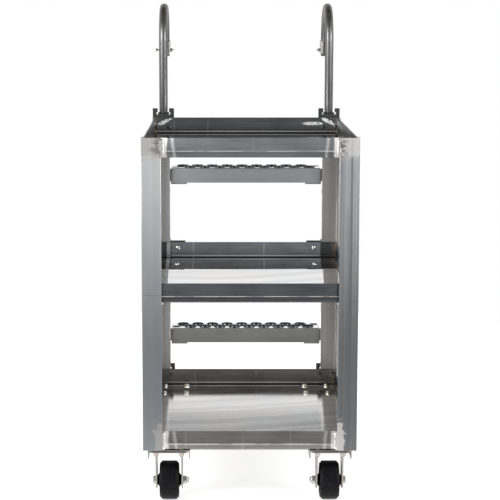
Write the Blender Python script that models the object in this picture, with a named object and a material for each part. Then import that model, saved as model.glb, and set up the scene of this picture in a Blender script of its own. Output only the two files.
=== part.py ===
"""Mobile ladder stand: an aluminium three-tray cart on casters with a spring-held ladder at its rear end.

Units are metres and +Z is up. The front end faces -Y, the ladder hangs on the rear end at +Y, and left is -X.
The origin is on the floor, under the middle of the whole stand.
"""

import math

import bmesh
import bpy
from mathutils import Matrix, Vector

for old_object in list(bpy.data.objects):
    bpy.data.objects.remove(old_object)

INCH = 0.0254
GAP = 0.0003  # left between pieces that touch or are welded together
OVERLAP = 0.001  # how far shapes reach into each other before a union
ROUND_SIDES = 12  # sides of small round pieces
SHARP_ANGLE = math.radians(40)  # an edge that turns by more stays sharp on a round piece

# Cart body
CART_WIDTH = 22 * INCH
CART_LENGTH = 29 * INCH
DECK_Z = 0.966
MIDDLE_LIP_Z = 0.590
BOTTOM_LIP_Z = 0.1978
LIP_HEIGHT = 2 * INCH
TRAY_SHEET = 0.0032
TRAY_BEND = 0.005
POST_FLANGE = 2 * INCH
POST_WALL = 0.0048
POST_FOOT_Z = BOTTOM_LIP_Z - LIP_HEIGHT

# Ladder
TUBE_RADIUS = 0.5 * INCH
TUBE_WALL = 0.002
TUBE_SIDES = 12
RAIL_X = 0.2475
RAIL_SETBACK = 0.022  # from the rear posts' outer face to the rails' axes
BEND_RADIUS = 4 * INCH
BEND_START_Z = 1.1882
FAR_LEG_END_Z = 1.1430
LADDER_DROP = 3 * INCH  # travel until the feet stand on the floor
FOOT_Z = LADDER_DROP + GAP
STEP_TOPS = {"top": 0.813, "middle": 0.5674, "bottom": 0.3218}
STEP_LENGTH = 0.446
STEP_DEPTH = 3.5 * INCH
STEP_FLANGE = 1.75 * INCH
STEP_SHEET = 0.002
STEP_SETBACK = 0.008
HANGER_REACH = 0.214  # from the rail's axis to the hanger plate's far end

# Casters
WHEEL_RADIUS = 2 * INCH
WHEEL_SIDES = 20
CASTER_X = 0.212
FRONT_AXLE_INSET = 0.060
KINGPIN_INSET = 0.077
TRAIL = 0.030
PLATE_WIDTH = 4 * INCH
PLATE_LENGTH = 4.5 * INCH
PLATE_THICK = 0.004
CHANNEL_WIDTH = 0.1108
CHANNEL_DROP = 0.0232
CHANNEL_WALL = 0.0032

# Places that follow from the above
REAR_OVERHANG = RAIL_SETBACK + 2 * BEND_RADIUS + TUBE_RADIUS
FRONT_Y = -(CART_LENGTH + REAR_OVERHANG) / 2
REAR_Y = FRONT_Y + CART_LENGTH
RAIL_Y = REAR_Y + RAIL_SETBACK
CHANNEL_TOP_Z = POST_FOOT_Z - GAP
PLATE_TOP_Z = CHANNEL_TOP_Z - CHANNEL_WALL - GAP
PLATE_BOTTOM_Z = PLATE_TOP_Z - PLATE_THICK

SIDES = {"left": -1, "right": 1}

# Finishes: colour, roughness, metallic
MILL_ALUMINIUM = ((0.62, 0.62, 0.63), 0.38, 1.0)
BRIGHT_SHEET = ((0.72, 0.72, 0.73), 0.25, 1.0)
ZINC = ((0.66, 0.63, 0.56), 0.35, 1.0)
SPRING_STEEL = ((0.45, 0.45, 0.46), 0.30, 1.0)
BLACK_TREAD = ((0.03, 0.03, 0.035), 0.60, 0.0)
BLACK_RUBBER = ((0.02, 0.02, 0.02), 0.85, 0.0)
BLACK_CAP = ((0.04, 0.04, 0.04), 0.55, 0.0)


def finish_material(name, finish):
    """A Principled material of the given colour, roughness and metallic value."""
    colour, roughness, metallic = finish
    made = bpy.data.materials.new(name)
    made.use_nodes = True
    shader = made.node_tree.nodes["Principled BSDF"]
    shader.inputs["Base Color"].default_value = (*colour, 1.0)
    shader.inputs["Roughness"].default_value = roughness
    shader.inputs["Metallic"].default_value = metallic
    return made


def add_object(name, bm, finish=None, location=(0, 0, 0), rounded=False):
    """Turns a bmesh into a named object. One without a finish is a helper that no view or build shows."""
    bmesh.ops.recalc_face_normals(bm, faces=bm.faces)
    mesh = bpy.data.meshes.new(name)
    bm.to_mesh(mesh)
    bm.free()
    made = bpy.data.objects.new(name, mesh)
    made.location = location
    bpy.context.scene.collection.objects.link(made)
    if finish:
        mesh.materials.append(finish_material(name, finish))
    else:
        made.hide_render = True
        made.display_type = "WIRE"
    if rounded:
        mesh.shade_smooth()
        mesh.set_sharp_from_angle(angle=SHARP_ANGLE)
    return made


def prism(outline, axis, low, high):
    """A closed solid: an outline in the plane across the axis, extruded from low to high along it."""
    order = {"X": lambda u, v: (low, u, v), "Y": lambda u, v: (u, low, v), "Z": lambda u, v: (u, v, low)}
    bm = bmesh.new()
    face = bm.faces.new([bm.verts.new(order[axis](u, v)) for u, v in outline])
    moved = bmesh.ops.extrude_face_region(bm, geom=[face])["geom"]
    shift = Vector([high - low if axis == letter else 0 for letter in "XYZ"])
    bmesh.ops.translate(bm, vec=shift, verts=[v for v in moved if isinstance(v, bmesh.types.BMVert)])
    bmesh.ops.reverse_faces(bm, faces=[face])
    return bm


def box_outline(low_u, high_u, low_v, high_v):
    return [(low_u, low_v), (high_u, low_v), (high_u, high_v), (low_u, high_v)]


def rounded_outline(low_u, high_u, low_v, high_v, radius, steps=3):
    """A rectangle with round corners."""
    corners = [(high_u - radius, high_v - radius, 0), (low_u + radius, high_v - radius, 90)]
    corners += [(low_u + radius, low_v + radius, 180), (high_u - radius, low_v + radius, 270)]
    points = []
    for centre_u, centre_v, start in corners:
        for step in range(steps + 1):
            angle = math.radians(start + 90 * step / steps)
            points.append((centre_u + radius * math.cos(angle), centre_v + radius * math.sin(angle)))
    return points


def ring_body(rings, sides, bored=False, along="Z"):
    """A profile turned about the axis. Each ring of it is (place on the axis, radius, corners): six corners
    make that ring a hexagon, none a circle. A bored body's profile is closed, a solid one is capped."""
    bm = bmesh.new()
    profile = [bm.verts.new((radius, 0, place)) for place, radius, _ in rings]
    edges = [bm.edges.new(pair) for pair in zip(profile, profile[1:])]
    if bored:
        edges.append(bm.edges.new((profile[-1], profile[0])))
    bmesh.ops.spin(
        bm,
        geom=profile + edges,
        cent=(0, 0, 0),
        axis=(0, 0, 1),
        angle=2 * math.pi,
        steps=sides,
        use_merge=True,
    )
    if not bored:
        bmesh.ops.holes_fill(bm, edges=bm.edges, sides=sides)
    for place, radius, corners in rings:
        if corners:
            flatten_ring(bm, place, radius, corners)
    if along == "X":
        bmesh.ops.rotate(bm, matrix=Matrix.Rotation(math.radians(90), 3, "Y"), verts=bm.verts)
    return bm


def flatten_ring(bm, place, radius, corners):
    """Draws a ring's vertices in onto a regular polygon with its corners at the ring's radius."""
    for vert in bm.verts:
        if abs(vert.co.z - place) > 1e-6 or abs(math.hypot(vert.co.x, vert.co.y) - radius) > 1e-6:
            continue
        turn = math.atan2(vert.co.y, vert.co.x) % (2 * math.pi / corners) - math.pi / corners
        across = math.cos(math.pi / corners) / math.cos(turn)
        vert.co.x *= across
        vert.co.y *= across


def cylinder(radius, low, high, along="Z", sides=ROUND_SIDES):
    return ring_body([(low, radius, 0), (high, radius, 0)], sides, along=along)


def combine(target, helper, operation):
    """Joins a helper to the target or cuts it away, and keeps the two in step."""
    change = target.modifiers.new(operation.title(), "BOOLEAN")
    change.operation = operation
    change.solver = "EXACT"
    change.object = helper


def cut(target, name, bm, location=(0, 0, 0)):
    combine(target, add_object(name, bm, location=location), "DIFFERENCE")


def join(target, name, bm, location=(0, 0, 0)):
    combine(target, add_object(name, bm, location=location), "UNION")


def corner_post(name, side, end_y, inward):
    """An angle with its heel at the cart's corner and its flanges along the tray's two sides."""
    heel = side * CART_WIDTH / 2
    across = [0, POST_FLANGE, POST_FLANGE, POST_WALL, POST_WALL, 0]
    along = [0, 0, POST_WALL, POST_WALL, POST_FLANGE, POST_FLANGE]
    outline = [(heel - side * u, end_y + inward * v) for u, v in zip(across, along)]
    add_object(name, prism(outline, "Z", POST_FOOT_Z, DECK_Z), MILL_ALUMINIUM)


def tray(name, lip_z):
    """A pan folded from sheet, open at the top, with its lips standing inside the posts."""
    bm = bmesh.new()
    bmesh.ops.create_cube(bm, size=1)
    inset = 2 * (POST_WALL + GAP)
    bmesh.ops.scale(bm, vec=(CART_WIDTH - inset, CART_LENGTH - inset, LIP_HEIGHT), verts=bm.verts)
    lid = [face for face in bm.faces if face.normal.z > 0.5]
    bmesh.ops.delete(bm, geom=lid, context="FACES_ONLY")
    folds = [edge for edge in bm.edges if all(vert.co.z < 0 for vert in edge.verts)]
    bmesh.ops.bevel(
        bm, geom=folds, offset=TRAY_BEND, segments=3, profile=0.5, affect="EDGES", material=-1
    )
    made = add_object(name, bm, BRIGHT_SHEET, (0, (FRONT_Y + REAR_Y) / 2, lip_z - LIP_HEIGHT / 2))
    sheet = made.modifiers.new("Sheet", "SOLIDIFY")
    sheet.thickness = TRAY_SHEET
    sheet.offset = -1
    sheet.use_even_offset = True


def caster_channel(name, side):
    """A channel under the bottom tray that the casters' plates bolt up into."""
    middle = side * CASTER_X
    half = CHANNEL_WIDTH / 2
    foot = CHANNEL_TOP_Z - CHANNEL_DROP
    roof = CHANNEL_TOP_Z - CHANNEL_WALL
    inner = half - CHANNEL_WALL
    outline = [(middle - half, foot), (middle - half, CHANNEL_TOP_Z), (middle + half, CHANNEL_TOP_Z)]
    outline += [(middle + half, foot), (middle + inner, foot), (middle + inner, roof)]
    outline += [(middle - inner, roof), (middle - inner, foot)]
    end_gap = POST_WALL + GAP
    add_object(name, prism(outline, "Y", FRONT_Y + end_gap, REAR_Y - end_gap), MILL_ALUMINIUM)


# Guide brackets: the rail slides through a hole in a flap that is bent out of each
BRACKET_WIDTH = 2.5 * INCH
BRACKET_WALL = 0.0048
FLAP_WIDTH = 0.034
FLAP_THICK = 0.0045
FLAP_REACH = 0.042
GUIDE_HOLE = TUBE_RADIUS + 0.0006
RELIEF_HOLE = 0.0033
RELIEF_OFFSET = 0.0175
NOTCH_DEPTH = 0.014
BRACKET_HEIGHT = 0.076
GUIDE_TOPS = {"top": 0.993, "bottom": 0.214}


def flap_bracket(name, side, top_z):
    """A plate on the rear post whose notched top edge has a flap bent back round the rail."""
    face_y = REAR_Y + GAP
    middle = side * RAIL_X
    half = BRACKET_WIDTH / 2
    notch = FLAP_WIDTH / 2
    sill = top_z - NOTCH_DEPTH
    base = top_z - BRACKET_HEIGHT
    left = [(middle - notch, sill), (middle - notch, top_z), (middle - half, top_z), (middle - half, base)]
    right = [(middle + half, base), (middle + half, top_z), (middle + notch, top_z), (middle + notch, sill)]
    outline = left + right
    made = add_object(name, prism(outline, "Y", face_y, face_y + BRACKET_WALL), MILL_ALUMINIUM)
    flap = box_outline(middle - notch, middle + notch, face_y + OVERLAP, face_y + FLAP_REACH)
    join(made, name + "_flap", prism(flap, "Z", sill - FLAP_THICK, sill))
    guide = cylinder(GUIDE_HOLE, sill - 2 * FLAP_THICK, sill + FLAP_THICK, sides=TUBE_SIDES)
    cut(made, name + "_guide", guide, (middle, RAIL_Y, 0))
    for way in (-1, 1):
        relief = cylinder(RELIEF_HOLE, -BRACKET_WALL, 2 * BRACKET_WALL, sides=8)
        bmesh.ops.rotate(relief, matrix=Matrix.Rotation(math.radians(-90), 3, "X"), verts=relief.verts)
        cut(made, f"{name}_relief_{way + 2}", relief, (middle + way * RELIEF_OFFSET, face_y, sill))


MIDDLE_BRACKET_WALL = 0.0032
MIDDLE_BRACKET_HEIGHT = 0.045
MIDDLE_BRACKET_INNER = 0.183
MIDDLE_SHELF_REACH = 0.045
MIDDLE_STRIP_REACH = 0.0075
SHELF_INNER = 0.228


def shelf_bracket(name, side):
    """An angle behind the middle tray's lip, whose shelf guides the rail and carries the spring."""
    near = REAR_Y + GAP
    outer = CART_WIDTH / 2 - GAP
    shelf_z = MIDDLE_LIP_Z + MIDDLE_BRACKET_WALL
    span = sorted((side * MIDDLE_BRACKET_INNER, side * outer))
    upright = box_outline(*span, near, near + MIDDLE_BRACKET_WALL)
    made = add_object(name, prism(upright, "Z", shelf_z - MIDDLE_BRACKET_HEIGHT, shelf_z), MILL_ALUMINIUM)
    across = [MIDDLE_BRACKET_INNER, outer, outer, SHELF_INNER, SHELF_INNER, MIDDLE_BRACKET_INNER]
    reach = [0, 0, MIDDLE_SHELF_REACH, MIDDLE_SHELF_REACH, MIDDLE_STRIP_REACH, MIDDLE_STRIP_REACH]
    outline = [(side * u, near + v) for u, v in zip(across, reach)]
    join(made, name + "_shelf", prism(outline, "Z", MIDDLE_LIP_Z, shelf_z))
    guide = cylinder(GUIDE_HOLE, MIDDLE_LIP_Z - FLAP_THICK, shelf_z + FLAP_THICK, sides=TUBE_SIDES)
    cut(made, name + "_guide", guide, (side * RAIL_X, RAIL_Y, 0))


TUBE_END_Z = FOOT_Z + 0.0085
HANGER_BOLT_Z = 1.1590
HANGER_HOLE = 0.0036


def rail(name, side, ladder):
    """One tube from the foot up to the handrail, bent over backwards into a cane, open at both ends."""
    bm = bmesh.new()
    verts = bmesh.ops.create_circle(bm, segments=TUBE_SIDES, radius=TUBE_RADIUS)["verts"]
    bmesh.ops.translate(bm, vec=(0, 0, TUBE_END_Z), verts=verts)
    risen = bmesh.ops.extrude_edge_only(bm, edges=bm.edges[:])["geom"]
    ring = [item for item in risen if isinstance(item, bmesh.types.BMVert)]
    bmesh.ops.translate(bm, vec=(0, 0, BEND_START_Z - TUBE_END_Z), verts=ring)
    ring_edges = [edge for edge in bm.edges if all(vert in ring for vert in edge.verts)]
    bent = bmesh.ops.spin(
        bm,
        geom=ring + ring_edges,
        cent=(0, BEND_RADIUS, BEND_START_Z),
        axis=(1, 0, 0),
        angle=-math.pi,
        steps=12,
    )["geom_last"]
    last_edges = [item for item in bent if isinstance(item, bmesh.types.BMEdge)]
    dropped = bmesh.ops.extrude_edge_only(bm, edges=last_edges)["geom"]
    end = [item for item in dropped if isinstance(item, bmesh.types.BMVert)]
    bmesh.ops.translate(bm, vec=(0, 0, FAR_LEG_END_Z - BEND_START_Z), verts=end)
    made = add_object(name, bm, MILL_ALUMINIUM, (side * RAIL_X, RAIL_Y, 0), rounded=True)
    made.parent = ladder
    wall = made.modifiers.new("Wall", "SOLIDIFY")
    wall.thickness = TUBE_WALL
    wall.offset = -1
    wall.use_even_offset = True
    hole = cylinder(HANGER_HOLE, -2 * TUBE_RADIUS, 2 * TUBE_RADIUS, along="X", sides=8)
    cut(made, name + "_bolt_hole", hole, (side * RAIL_X, RAIL_Y + 2 * BEND_RADIUS, HANGER_BOLT_Z))


HOLE_RADIUS = 0.017
HOLE_PITCH = 0.045
HOLE_ROWS = {"front": (0.026, -0.214), "back": (0.063, -0.1915)}
HOLES_IN_ROW = 10
COLLAR_HEIGHT = 0.004
COLLAR_WALL = 0.0015
HOLE_SIDES = 8


def step_holes(name, radius, low, high, whole_only):
    """The punch for a step's two staggered rows of round holes. The collars stand only round whole holes."""
    bm = bmesh.new()
    for depth, first in HOLE_ROWS.values():
        for index in range(HOLES_IN_ROW):
            place = first + index * HOLE_PITCH
            if whole_only and abs(place) + HOLE_RADIUS > STEP_LENGTH / 2:
                continue
            bmesh.ops.create_cone(
                bm,
                cap_ends=True,
                segments=HOLE_SIDES,
                radius1=radius,
                radius2=radius,
                depth=high - low,
                matrix=Matrix.Translation((place, depth, (low + high) / 2)),
            )
    return add_object(name, bm)


def step(level, top_z, ladder):
    """A plank of pressed sheet: flanges down at front and back, and round holes with raised collars."""
    name = "step_" + level
    sheet = STEP_SHEET
    outline = [(0, -STEP_FLANGE), (0, 0), (STEP_DEPTH, 0), (STEP_DEPTH, -STEP_FLANGE)]
    outline += [(STEP_DEPTH - sheet, -STEP_FLANGE), (STEP_DEPTH - sheet, -sheet)]
    outline += [(sheet, -sheet), (sheet, -STEP_FLANGE)]
    bm = prism(outline, "X", -STEP_LENGTH / 2, STEP_LENGTH / 2)
    place = (0, REAR_Y + STEP_SETBACK, top_z)
    made = add_object(name, bm, MILL_ALUMINIUM, place)
    made.parent = ladder
    collars = step_holes(name + "_collars", HOLE_RADIUS + COLLAR_WALL, -sheet / 2, COLLAR_HEIGHT, True)
    holes = step_holes(name + "_holes", HOLE_RADIUS, -2 * sheet, COLLAR_HEIGHT + sheet, False)
    for helper, operation in ((collars, "UNION"), (holes, "DIFFERENCE")):
        helper.location = place
        combine(made, helper, operation)


END_SHEET = 0.003
END_TAB = 0.178
END_TOP = 0.004
END_TAB_FOOT = 0.049
END_LINK_FOOT = 0.040
END_DEPTH = 0.080
LINK_HALF = 0.009


def step_end(level, side_name, side, top_z, ladder):
    """A bent end plate: its tab screws inside the step's front flange, and its block joins it to the rail."""
    name = f"step_end_{level}_{side_name}"
    plate = STEP_LENGTH / 2 + GAP
    near = REAR_Y + STEP_SETBACK + STEP_SHEET + GAP
    link_low = RAIL_Y - LINK_HALF
    link_high = RAIL_Y + LINK_HALF
    outer = plate + END_SHEET
    across = [END_TAB, outer, outer, outer, outer, plate, plate, END_TAB]
    depth = [near, near, link_low, link_high, near + END_DEPTH, near + END_DEPTH, near + END_SHEET]
    depth.append(near + END_SHEET)
    outline = [(side * u, v) for u, v in zip(across, depth)]
    bm = prism(outline, "Z", top_z - END_TAB_FOOT, top_z - END_LINK_FOOT)
    roof = [face for face in bm.faces if min(vert.co.z for vert in face.verts) > top_z - END_LINK_FOOT - GAP]
    raised = bmesh.ops.extrude_face_region(bm, geom=roof)["geom"]
    lifted = [item for item in raised if isinstance(item, bmesh.types.BMVert)]
    bmesh.ops.translate(bm, vec=(0, 0, END_LINK_FOOT - END_TOP), verts=lifted)
    bmesh.ops.delete(bm, geom=roof, context="FACES_ONLY")
    link = [face for face in bm.faces if is_link_face(face, side * outer, link_low, link_high, top_z)]
    block = bmesh.ops.extrude_face_region(bm, geom=link)["geom"]
    pushed = [item for item in block if isinstance(item, bmesh.types.BMVert)]
    reach = RAIL_X - TUBE_RADIUS - GAP - outer
    bmesh.ops.translate(bm, vec=(side * reach, 0, 0), verts=pushed)
    bmesh.ops.delete(bm, geom=link, context="FACES_ONLY")
    add_object(name, bm, MILL_ALUMINIUM).parent = ladder


def is_link_face(face, plane_x, low_y, high_y, top_z):
    """Whether this is the upper face on the end plate's outer side that faces the rail."""
    centre = face.calc_center_median()
    on_plane = all(abs(vert.co.x - plane_x) < GAP for vert in face.verts)
    return on_plane and low_y < centre.y < high_y and centre.z > top_z - END_LINK_FOOT


FOOT_RADIUS = 0.016
FOOT_HEIGHT = 0.028
SOCKET = TUBE_RADIUS + 0.0004


def foot(name, side, ladder):
    """A rubber cup on the rail's lower end."""
    rings = [(0, 0.0145, 0), (0.0025, FOOT_RADIUS, 0), (0.008, FOOT_RADIUS, 0), (0.010, 0.0150, 0)]
    rings += [(0.024, 0.0148, 0), (FOOT_HEIGHT, 0.0148, 0), (FOOT_HEIGHT, SOCKET, 0), (0.008, SOCKET, 0)]
    made = add_object(name, ring_body(rings, TUBE_SIDES), BLACK_RUBBER, (side * RAIL_X, RAIL_Y, FOOT_Z), True)
    made.parent = ladder


STOP_COLLAR_RADIUS = 0.0164
STOP_COLLAR_HEIGHT = 0.010
SPRING_COLLAR_RADIUS = 0.019
SPRING_COLLAR_HEIGHT = 0.0117
COLLAR_EDGE = 0.001


def rail_collar(name, side, outer, low, high, ladder):
    """A steel collar clamped on the rail."""
    tall = high - low
    eased = outer - COLLAR_EDGE
    rings = [(0, eased, 0), (COLLAR_EDGE, outer, 0), (tall - COLLAR_EDGE, outer, 0), (tall, eased, 0)]
    rings += [(tall, SOCKET, 0), (0, SOCKET, 0)]
    place = (side * RAIL_X, RAIL_Y, low)
    made = add_object(name, ring_body(rings, TUBE_SIDES, bored=True), ZINC, place, True)
    made.parent = ladder


SPRING_FOOT_Z = MIDDLE_LIP_Z + MIDDLE_BRACKET_WALL + GAP
SPRING_TOP_Z = 0.735
SPRING_COIL = 0.0157
SPRING_WIRE = 0.0015
SPRING_TURNS = 8
SPRING_STEPS = 8


def spring(name, side):
    """A compression spring that stands on the middle bracket and pushes the rail's collar up."""
    rise = SPRING_TOP_Z - SPRING_FOOT_Z - 2 * SPRING_WIRE
    steps = SPRING_TURNS * SPRING_STEPS
    bm = bmesh.new()
    verts = bmesh.ops.create_circle(bm, cap_ends=True, segments=4, radius=SPRING_WIRE)["verts"]
    bmesh.ops.rotate(bm, matrix=Matrix.Rotation(math.radians(90), 3, "X"), verts=verts)
    bmesh.ops.translate(bm, vec=(SPRING_COIL, 0, SPRING_WIRE), verts=verts)
    bmesh.ops.spin(
        bm,
        geom=bm.verts[:] + bm.edges[:] + bm.faces[:],
        cent=(0, 0, 0),
        axis=(0, 0, 1),
        dvec=(0, 0, rise / steps),
        angle=2 * math.pi * SPRING_TURNS,
        steps=steps,
    )
    add_object(name, bm, SPRING_STEEL, (side * RAIL_X, RAIL_Y, SPRING_FOOT_Z), True)


def rail_cap(name, side, ladder):
    """A plastic plug in the open lower end of the handrail."""
    stub = TUBE_RADIUS - TUBE_WALL - 0.0005
    rings = [(-0.003, TUBE_RADIUS - 0.001, 0), (-0.002, TUBE_RADIUS, 0), (-GAP, TUBE_RADIUS, 0)]
    rings += [(-GAP, stub, 0), (0.010, stub - 0.0005, 0)]
    place = (side * RAIL_X, RAIL_Y + 2 * BEND_RADIUS, FAR_LEG_END_Z)
    made = add_object(name, ring_body(rings, TUBE_SIDES), BLACK_CAP, place, True)
    made.parent = ladder


HANGER_SHEET = 0.0024
HANGER_START = 0.060
HANGER_LOW_Z = 1.152
HANGER_HIGH_Z = 1.189


def hanger_plate(name, side, ladder):
    """A flat plate on the inner side of the handrail's far leg."""
    face_x = RAIL_X - TUBE_RADIUS - GAP
    low, high = sorted((side * face_x, side * (face_x - HANGER_SHEET)))
    outline = rounded_outline(
        RAIL_Y + HANGER_START, RAIL_Y + HANGER_REACH, HANGER_LOW_Z, HANGER_HIGH_Z, 0.004, 2
    )
    made = add_object(name, prism(outline, "X", low, high), ZINC)
    made.parent = ladder
    hole = cylinder(HANGER_HOLE, -0.01, 0.01, along="X", sides=8)
    cut(made, name + "_hole", hole, (side * face_x, RAIL_Y + 2 * BEND_RADIUS, HANGER_BOLT_Z))


BOLT_STAND_OFF = {"left": 0.013, "right": 0}  # from the tube to the head


def hanger_bolt(name, side, stand_off, ladder):
    """A hexagon bolt through the far leg and the hanger plate. Its place on the axis grows outwards."""
    inner = -TUBE_RADIUS - HANGER_SHEET - 2 * GAP - 0.0095
    outer = TUBE_RADIUS + GAP + stand_off
    head = 0.0064
    shank = 0.0031
    rings = [(inner, shank, 0), (outer, shank, 0), (outer, head, 6), (outer + 0.0045, head, 6)]
    bm = ring_body(rings, ROUND_SIDES, along="X")
    bmesh.ops.scale(bm, vec=(side, 1, 1), verts=bm.verts)
    place = (side * RAIL_X, RAIL_Y + 2 * BEND_RADIUS, HANGER_BOLT_Z)
    add_object(name, bm, ZINC, place).parent = ladder


# Casters
FORK_GAP = 0.064
FORK_WALL = 0.004
LEG_BELOW_AXLE = 0.020
LEG_END_HALF = 0.021
AXLE_RADIUS = 0.25 * INCH
AXLE_HOLE = AXLE_RADIUS + 0.0005
HUB_LENGTH = FORK_GAP - 0.0012
SWIVEL_CROWN_Z = 0.116
RACE_GAP_Z = 0.1278
LOWER_RACE_OUTER = 0.0340
LOWER_RACE_INNER = 0.0240
PIN_HOLE = 0.0066


def caster_plate_bm():
    outline = rounded_outline(
        -PLATE_WIDTH / 2, PLATE_WIDTH / 2, -PLATE_LENGTH / 2, PLATE_LENGTH / 2, 0.010
    )
    return prism(outline, "Z", PLATE_BOTTOM_Z, PLATE_TOP_Z)


def fork_bm(crown_z, crown_half, trail):
    """A fork bent from strip. Its legs narrow towards the axle and lean back by the trail."""
    inner = FORK_GAP / 2
    outer = inner + FORK_WALL
    foot_z = WHEEL_RADIUS - LEG_BELOW_AXLE
    outline = [(-outer, foot_z), (-outer, crown_z), (outer, crown_z), (outer, foot_z), (inner, foot_z)]
    outline += [(inner, crown_z - FORK_WALL), (-inner, crown_z - FORK_WALL), (-inner, foot_z)]
    bm = prism(outline, "Y", -crown_half, crown_half)
    for vert in bm.verts:
        if vert.co.z < WHEEL_RADIUS:
            vert.co.y = trail + math.copysign(LEG_END_HALF, vert.co.y)
    corners = [edge for edge in bm.edges if is_leg_corner(edge, foot_z)]
    bmesh.ops.bevel(
        bm, geom=corners, offset=0.012, segments=3, profile=0.5, affect="EDGES", material=-1
    )
    return bm


def is_leg_corner(edge, foot_z):
    """Whether this edge runs across a leg at its foot."""
    first, second = (vert.co for vert in edge.verts)
    at_foot = abs(first.z - foot_z) < GAP and abs(second.z - foot_z) < GAP
    return at_foot and abs(first.y - second.y) < GAP


def cut_axle_hole(target, place):
    cut(target, target.name + "_axle_hole", cylinder(AXLE_HOLE, -0.06, 0.06, along="X", sides=16), place)


def rigid_caster_frame(name, place):
    """The front caster's top plate with the fork welded under it."""
    made = add_object(name, fork_bm(PLATE_BOTTOM_Z + OVERLAP, 0.036, 0), ZINC, place)
    join(made, name + "_plate", caster_plate_bm(), place)
    cut_axle_hole(made, (place[0], place[1], WHEEL_RADIUS))


def swivel_plate(name, place):
    """The rear caster's top plate with the upper race and the riveted kingpin."""
    pin = 0.0060
    head = 0.0100
    race_outer = 0.0370
    race_inner = 0.0300
    race_root = PLATE_BOTTOM_Z - 0.002
    crown_under = SWIVEL_CROWN_Z - FORK_WALL - GAP
    rings = [(PLATE_TOP_Z - OVERLAP, race_outer, 0), (RACE_GAP_Z + GAP, race_outer, 0)]
    rings += [(RACE_GAP_Z + GAP, race_inner, 0), (race_root, race_inner, 0), (race_root, pin, 0)]
    rings += [(crown_under, pin, 0), (crown_under, head, 0), (crown_under - 0.004, head, 0)]
    made = add_object(name, caster_plate_bm(), ZINC, place)
    join(made, name + "_race", ring_body(rings, TUBE_SIDES), place)


def swivel_fork(name, place, swivel):
    """The rear caster's fork with the lower race on its crown. It turns about the kingpin."""
    made = add_object(name, fork_bm(SWIVEL_CROWN_Z, 0.034, TRAIL), ZINC, (0, 0, 0))
    made.parent = swivel
    root = SWIVEL_CROWN_Z - OVERLAP
    race = [(root, LOWER_RACE_OUTER, 0), (RACE_GAP_Z, LOWER_RACE_OUTER, 0)]
    race += [(RACE_GAP_Z, LOWER_RACE_INNER, 0), (root, LOWER_RACE_INNER, 0)]
    join(made, name + "_race", ring_body(race, TUBE_SIDES, bored=True), place)
    pin_hole = cylinder(PIN_HOLE, SWIVEL_CROWN_Z - 2 * FORK_WALL, SWIVEL_CROWN_Z + FORK_WALL, sides=16)
    cut(made, name + "_pin_hole", pin_hole, place)
    cut_axle_hole(made, (place[0], place[1] + TRAIL, WHEEL_RADIUS))


def wheel(name, place):
    """A moulded wheel: hub, web, stepped rim and flat tread. Its origin is on its axle."""
    hub = HUB_LENGTH / 2
    right = [(hub, 0.0160), (0.0130, 0.0185), (0.0120, 0.0340), (0.0254, 0.0375), (0.0254, 0.0455)]
    right.append((0.0205, WHEEL_RADIUS))
    bore = AXLE_RADIUS + 0.0009
    half = [(hub, bore)] + right
    rings = [(x, radius, 0) for x, radius in half] + [(-x, radius, 0) for x, radius in reversed(half)]
    add_object(name, ring_body(rings, WHEEL_SIDES, bored=True, along="X"), BLACK_TREAD, place, True)


HEAD_ACROSS = 0.019
HEAD_THICK = 0.008
NUT_THICK = 0.0125


def axle_bolt(name, side, place, parent):
    """The half-inch bolt that the wheel turns on, with its head on the cart's outer side."""
    outer = FORK_GAP / 2 + FORK_WALL + GAP
    corner = HEAD_ACROSS / math.sqrt(3)
    end = -(outer + NUT_THICK + 0.0035)
    rings = [(end, AXLE_RADIUS - 0.001, 0), (end + 0.001, AXLE_RADIUS, 0), (outer, AXLE_RADIUS, 0)]
    rings += [(outer, corner, 6), (outer + HEAD_THICK, corner, 6)]
    bm = ring_body(rings, ROUND_SIDES, along="X")
    bmesh.ops.scale(bm, vec=(side, 1, 1), verts=bm.verts)
    add_object(name, bm, ZINC, place).parent = parent


def axle_nut(name, side, place, parent):
    """The lock nut on the axle bolt's inner end."""
    start = -(FORK_GAP / 2 + FORK_WALL + GAP)
    corner = HEAD_ACROSS / math.sqrt(3)
    bore = AXLE_RADIUS + GAP
    rings = [(start, bore, 0), (start, corner, 6), (start - 0.0085, corner, 6), (start - 0.0095, 0.0088, 0)]
    rings += [(start - NUT_THICK, 0.0088, 0), (start - NUT_THICK, bore, 0)]
    bm = ring_body(rings, ROUND_SIDES, bored=True, along="X")
    bmesh.ops.scale(bm, vec=(side, 1, 1), verts=bm.verts)
    add_object(name, bm, ZINC, place).parent = parent


def empty(name, location):
    made = bpy.data.objects.new(name, None)
    made.location = location
    bpy.context.scene.collection.objects.link(made)
    return made


def build_frame():
    for side_name, side in SIDES.items():
        corner_post("post_front_" + side_name, side, FRONT_Y, 1)
        corner_post("post_rear_" + side_name, side, REAR_Y, -1)
        caster_channel("caster_channel_" + side_name, side)
        for level, top_z in GUIDE_TOPS.items():
            flap_bracket(f"guide_{level}_{side_name}", side, top_z)
        shelf_bracket("guide_middle_" + side_name, side)
    for level, lip_z in (("top", DECK_Z), ("middle", MIDDLE_LIP_Z), ("bottom", BOTTOM_LIP_Z)):
        tray("tray_" + level, lip_z)


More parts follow.
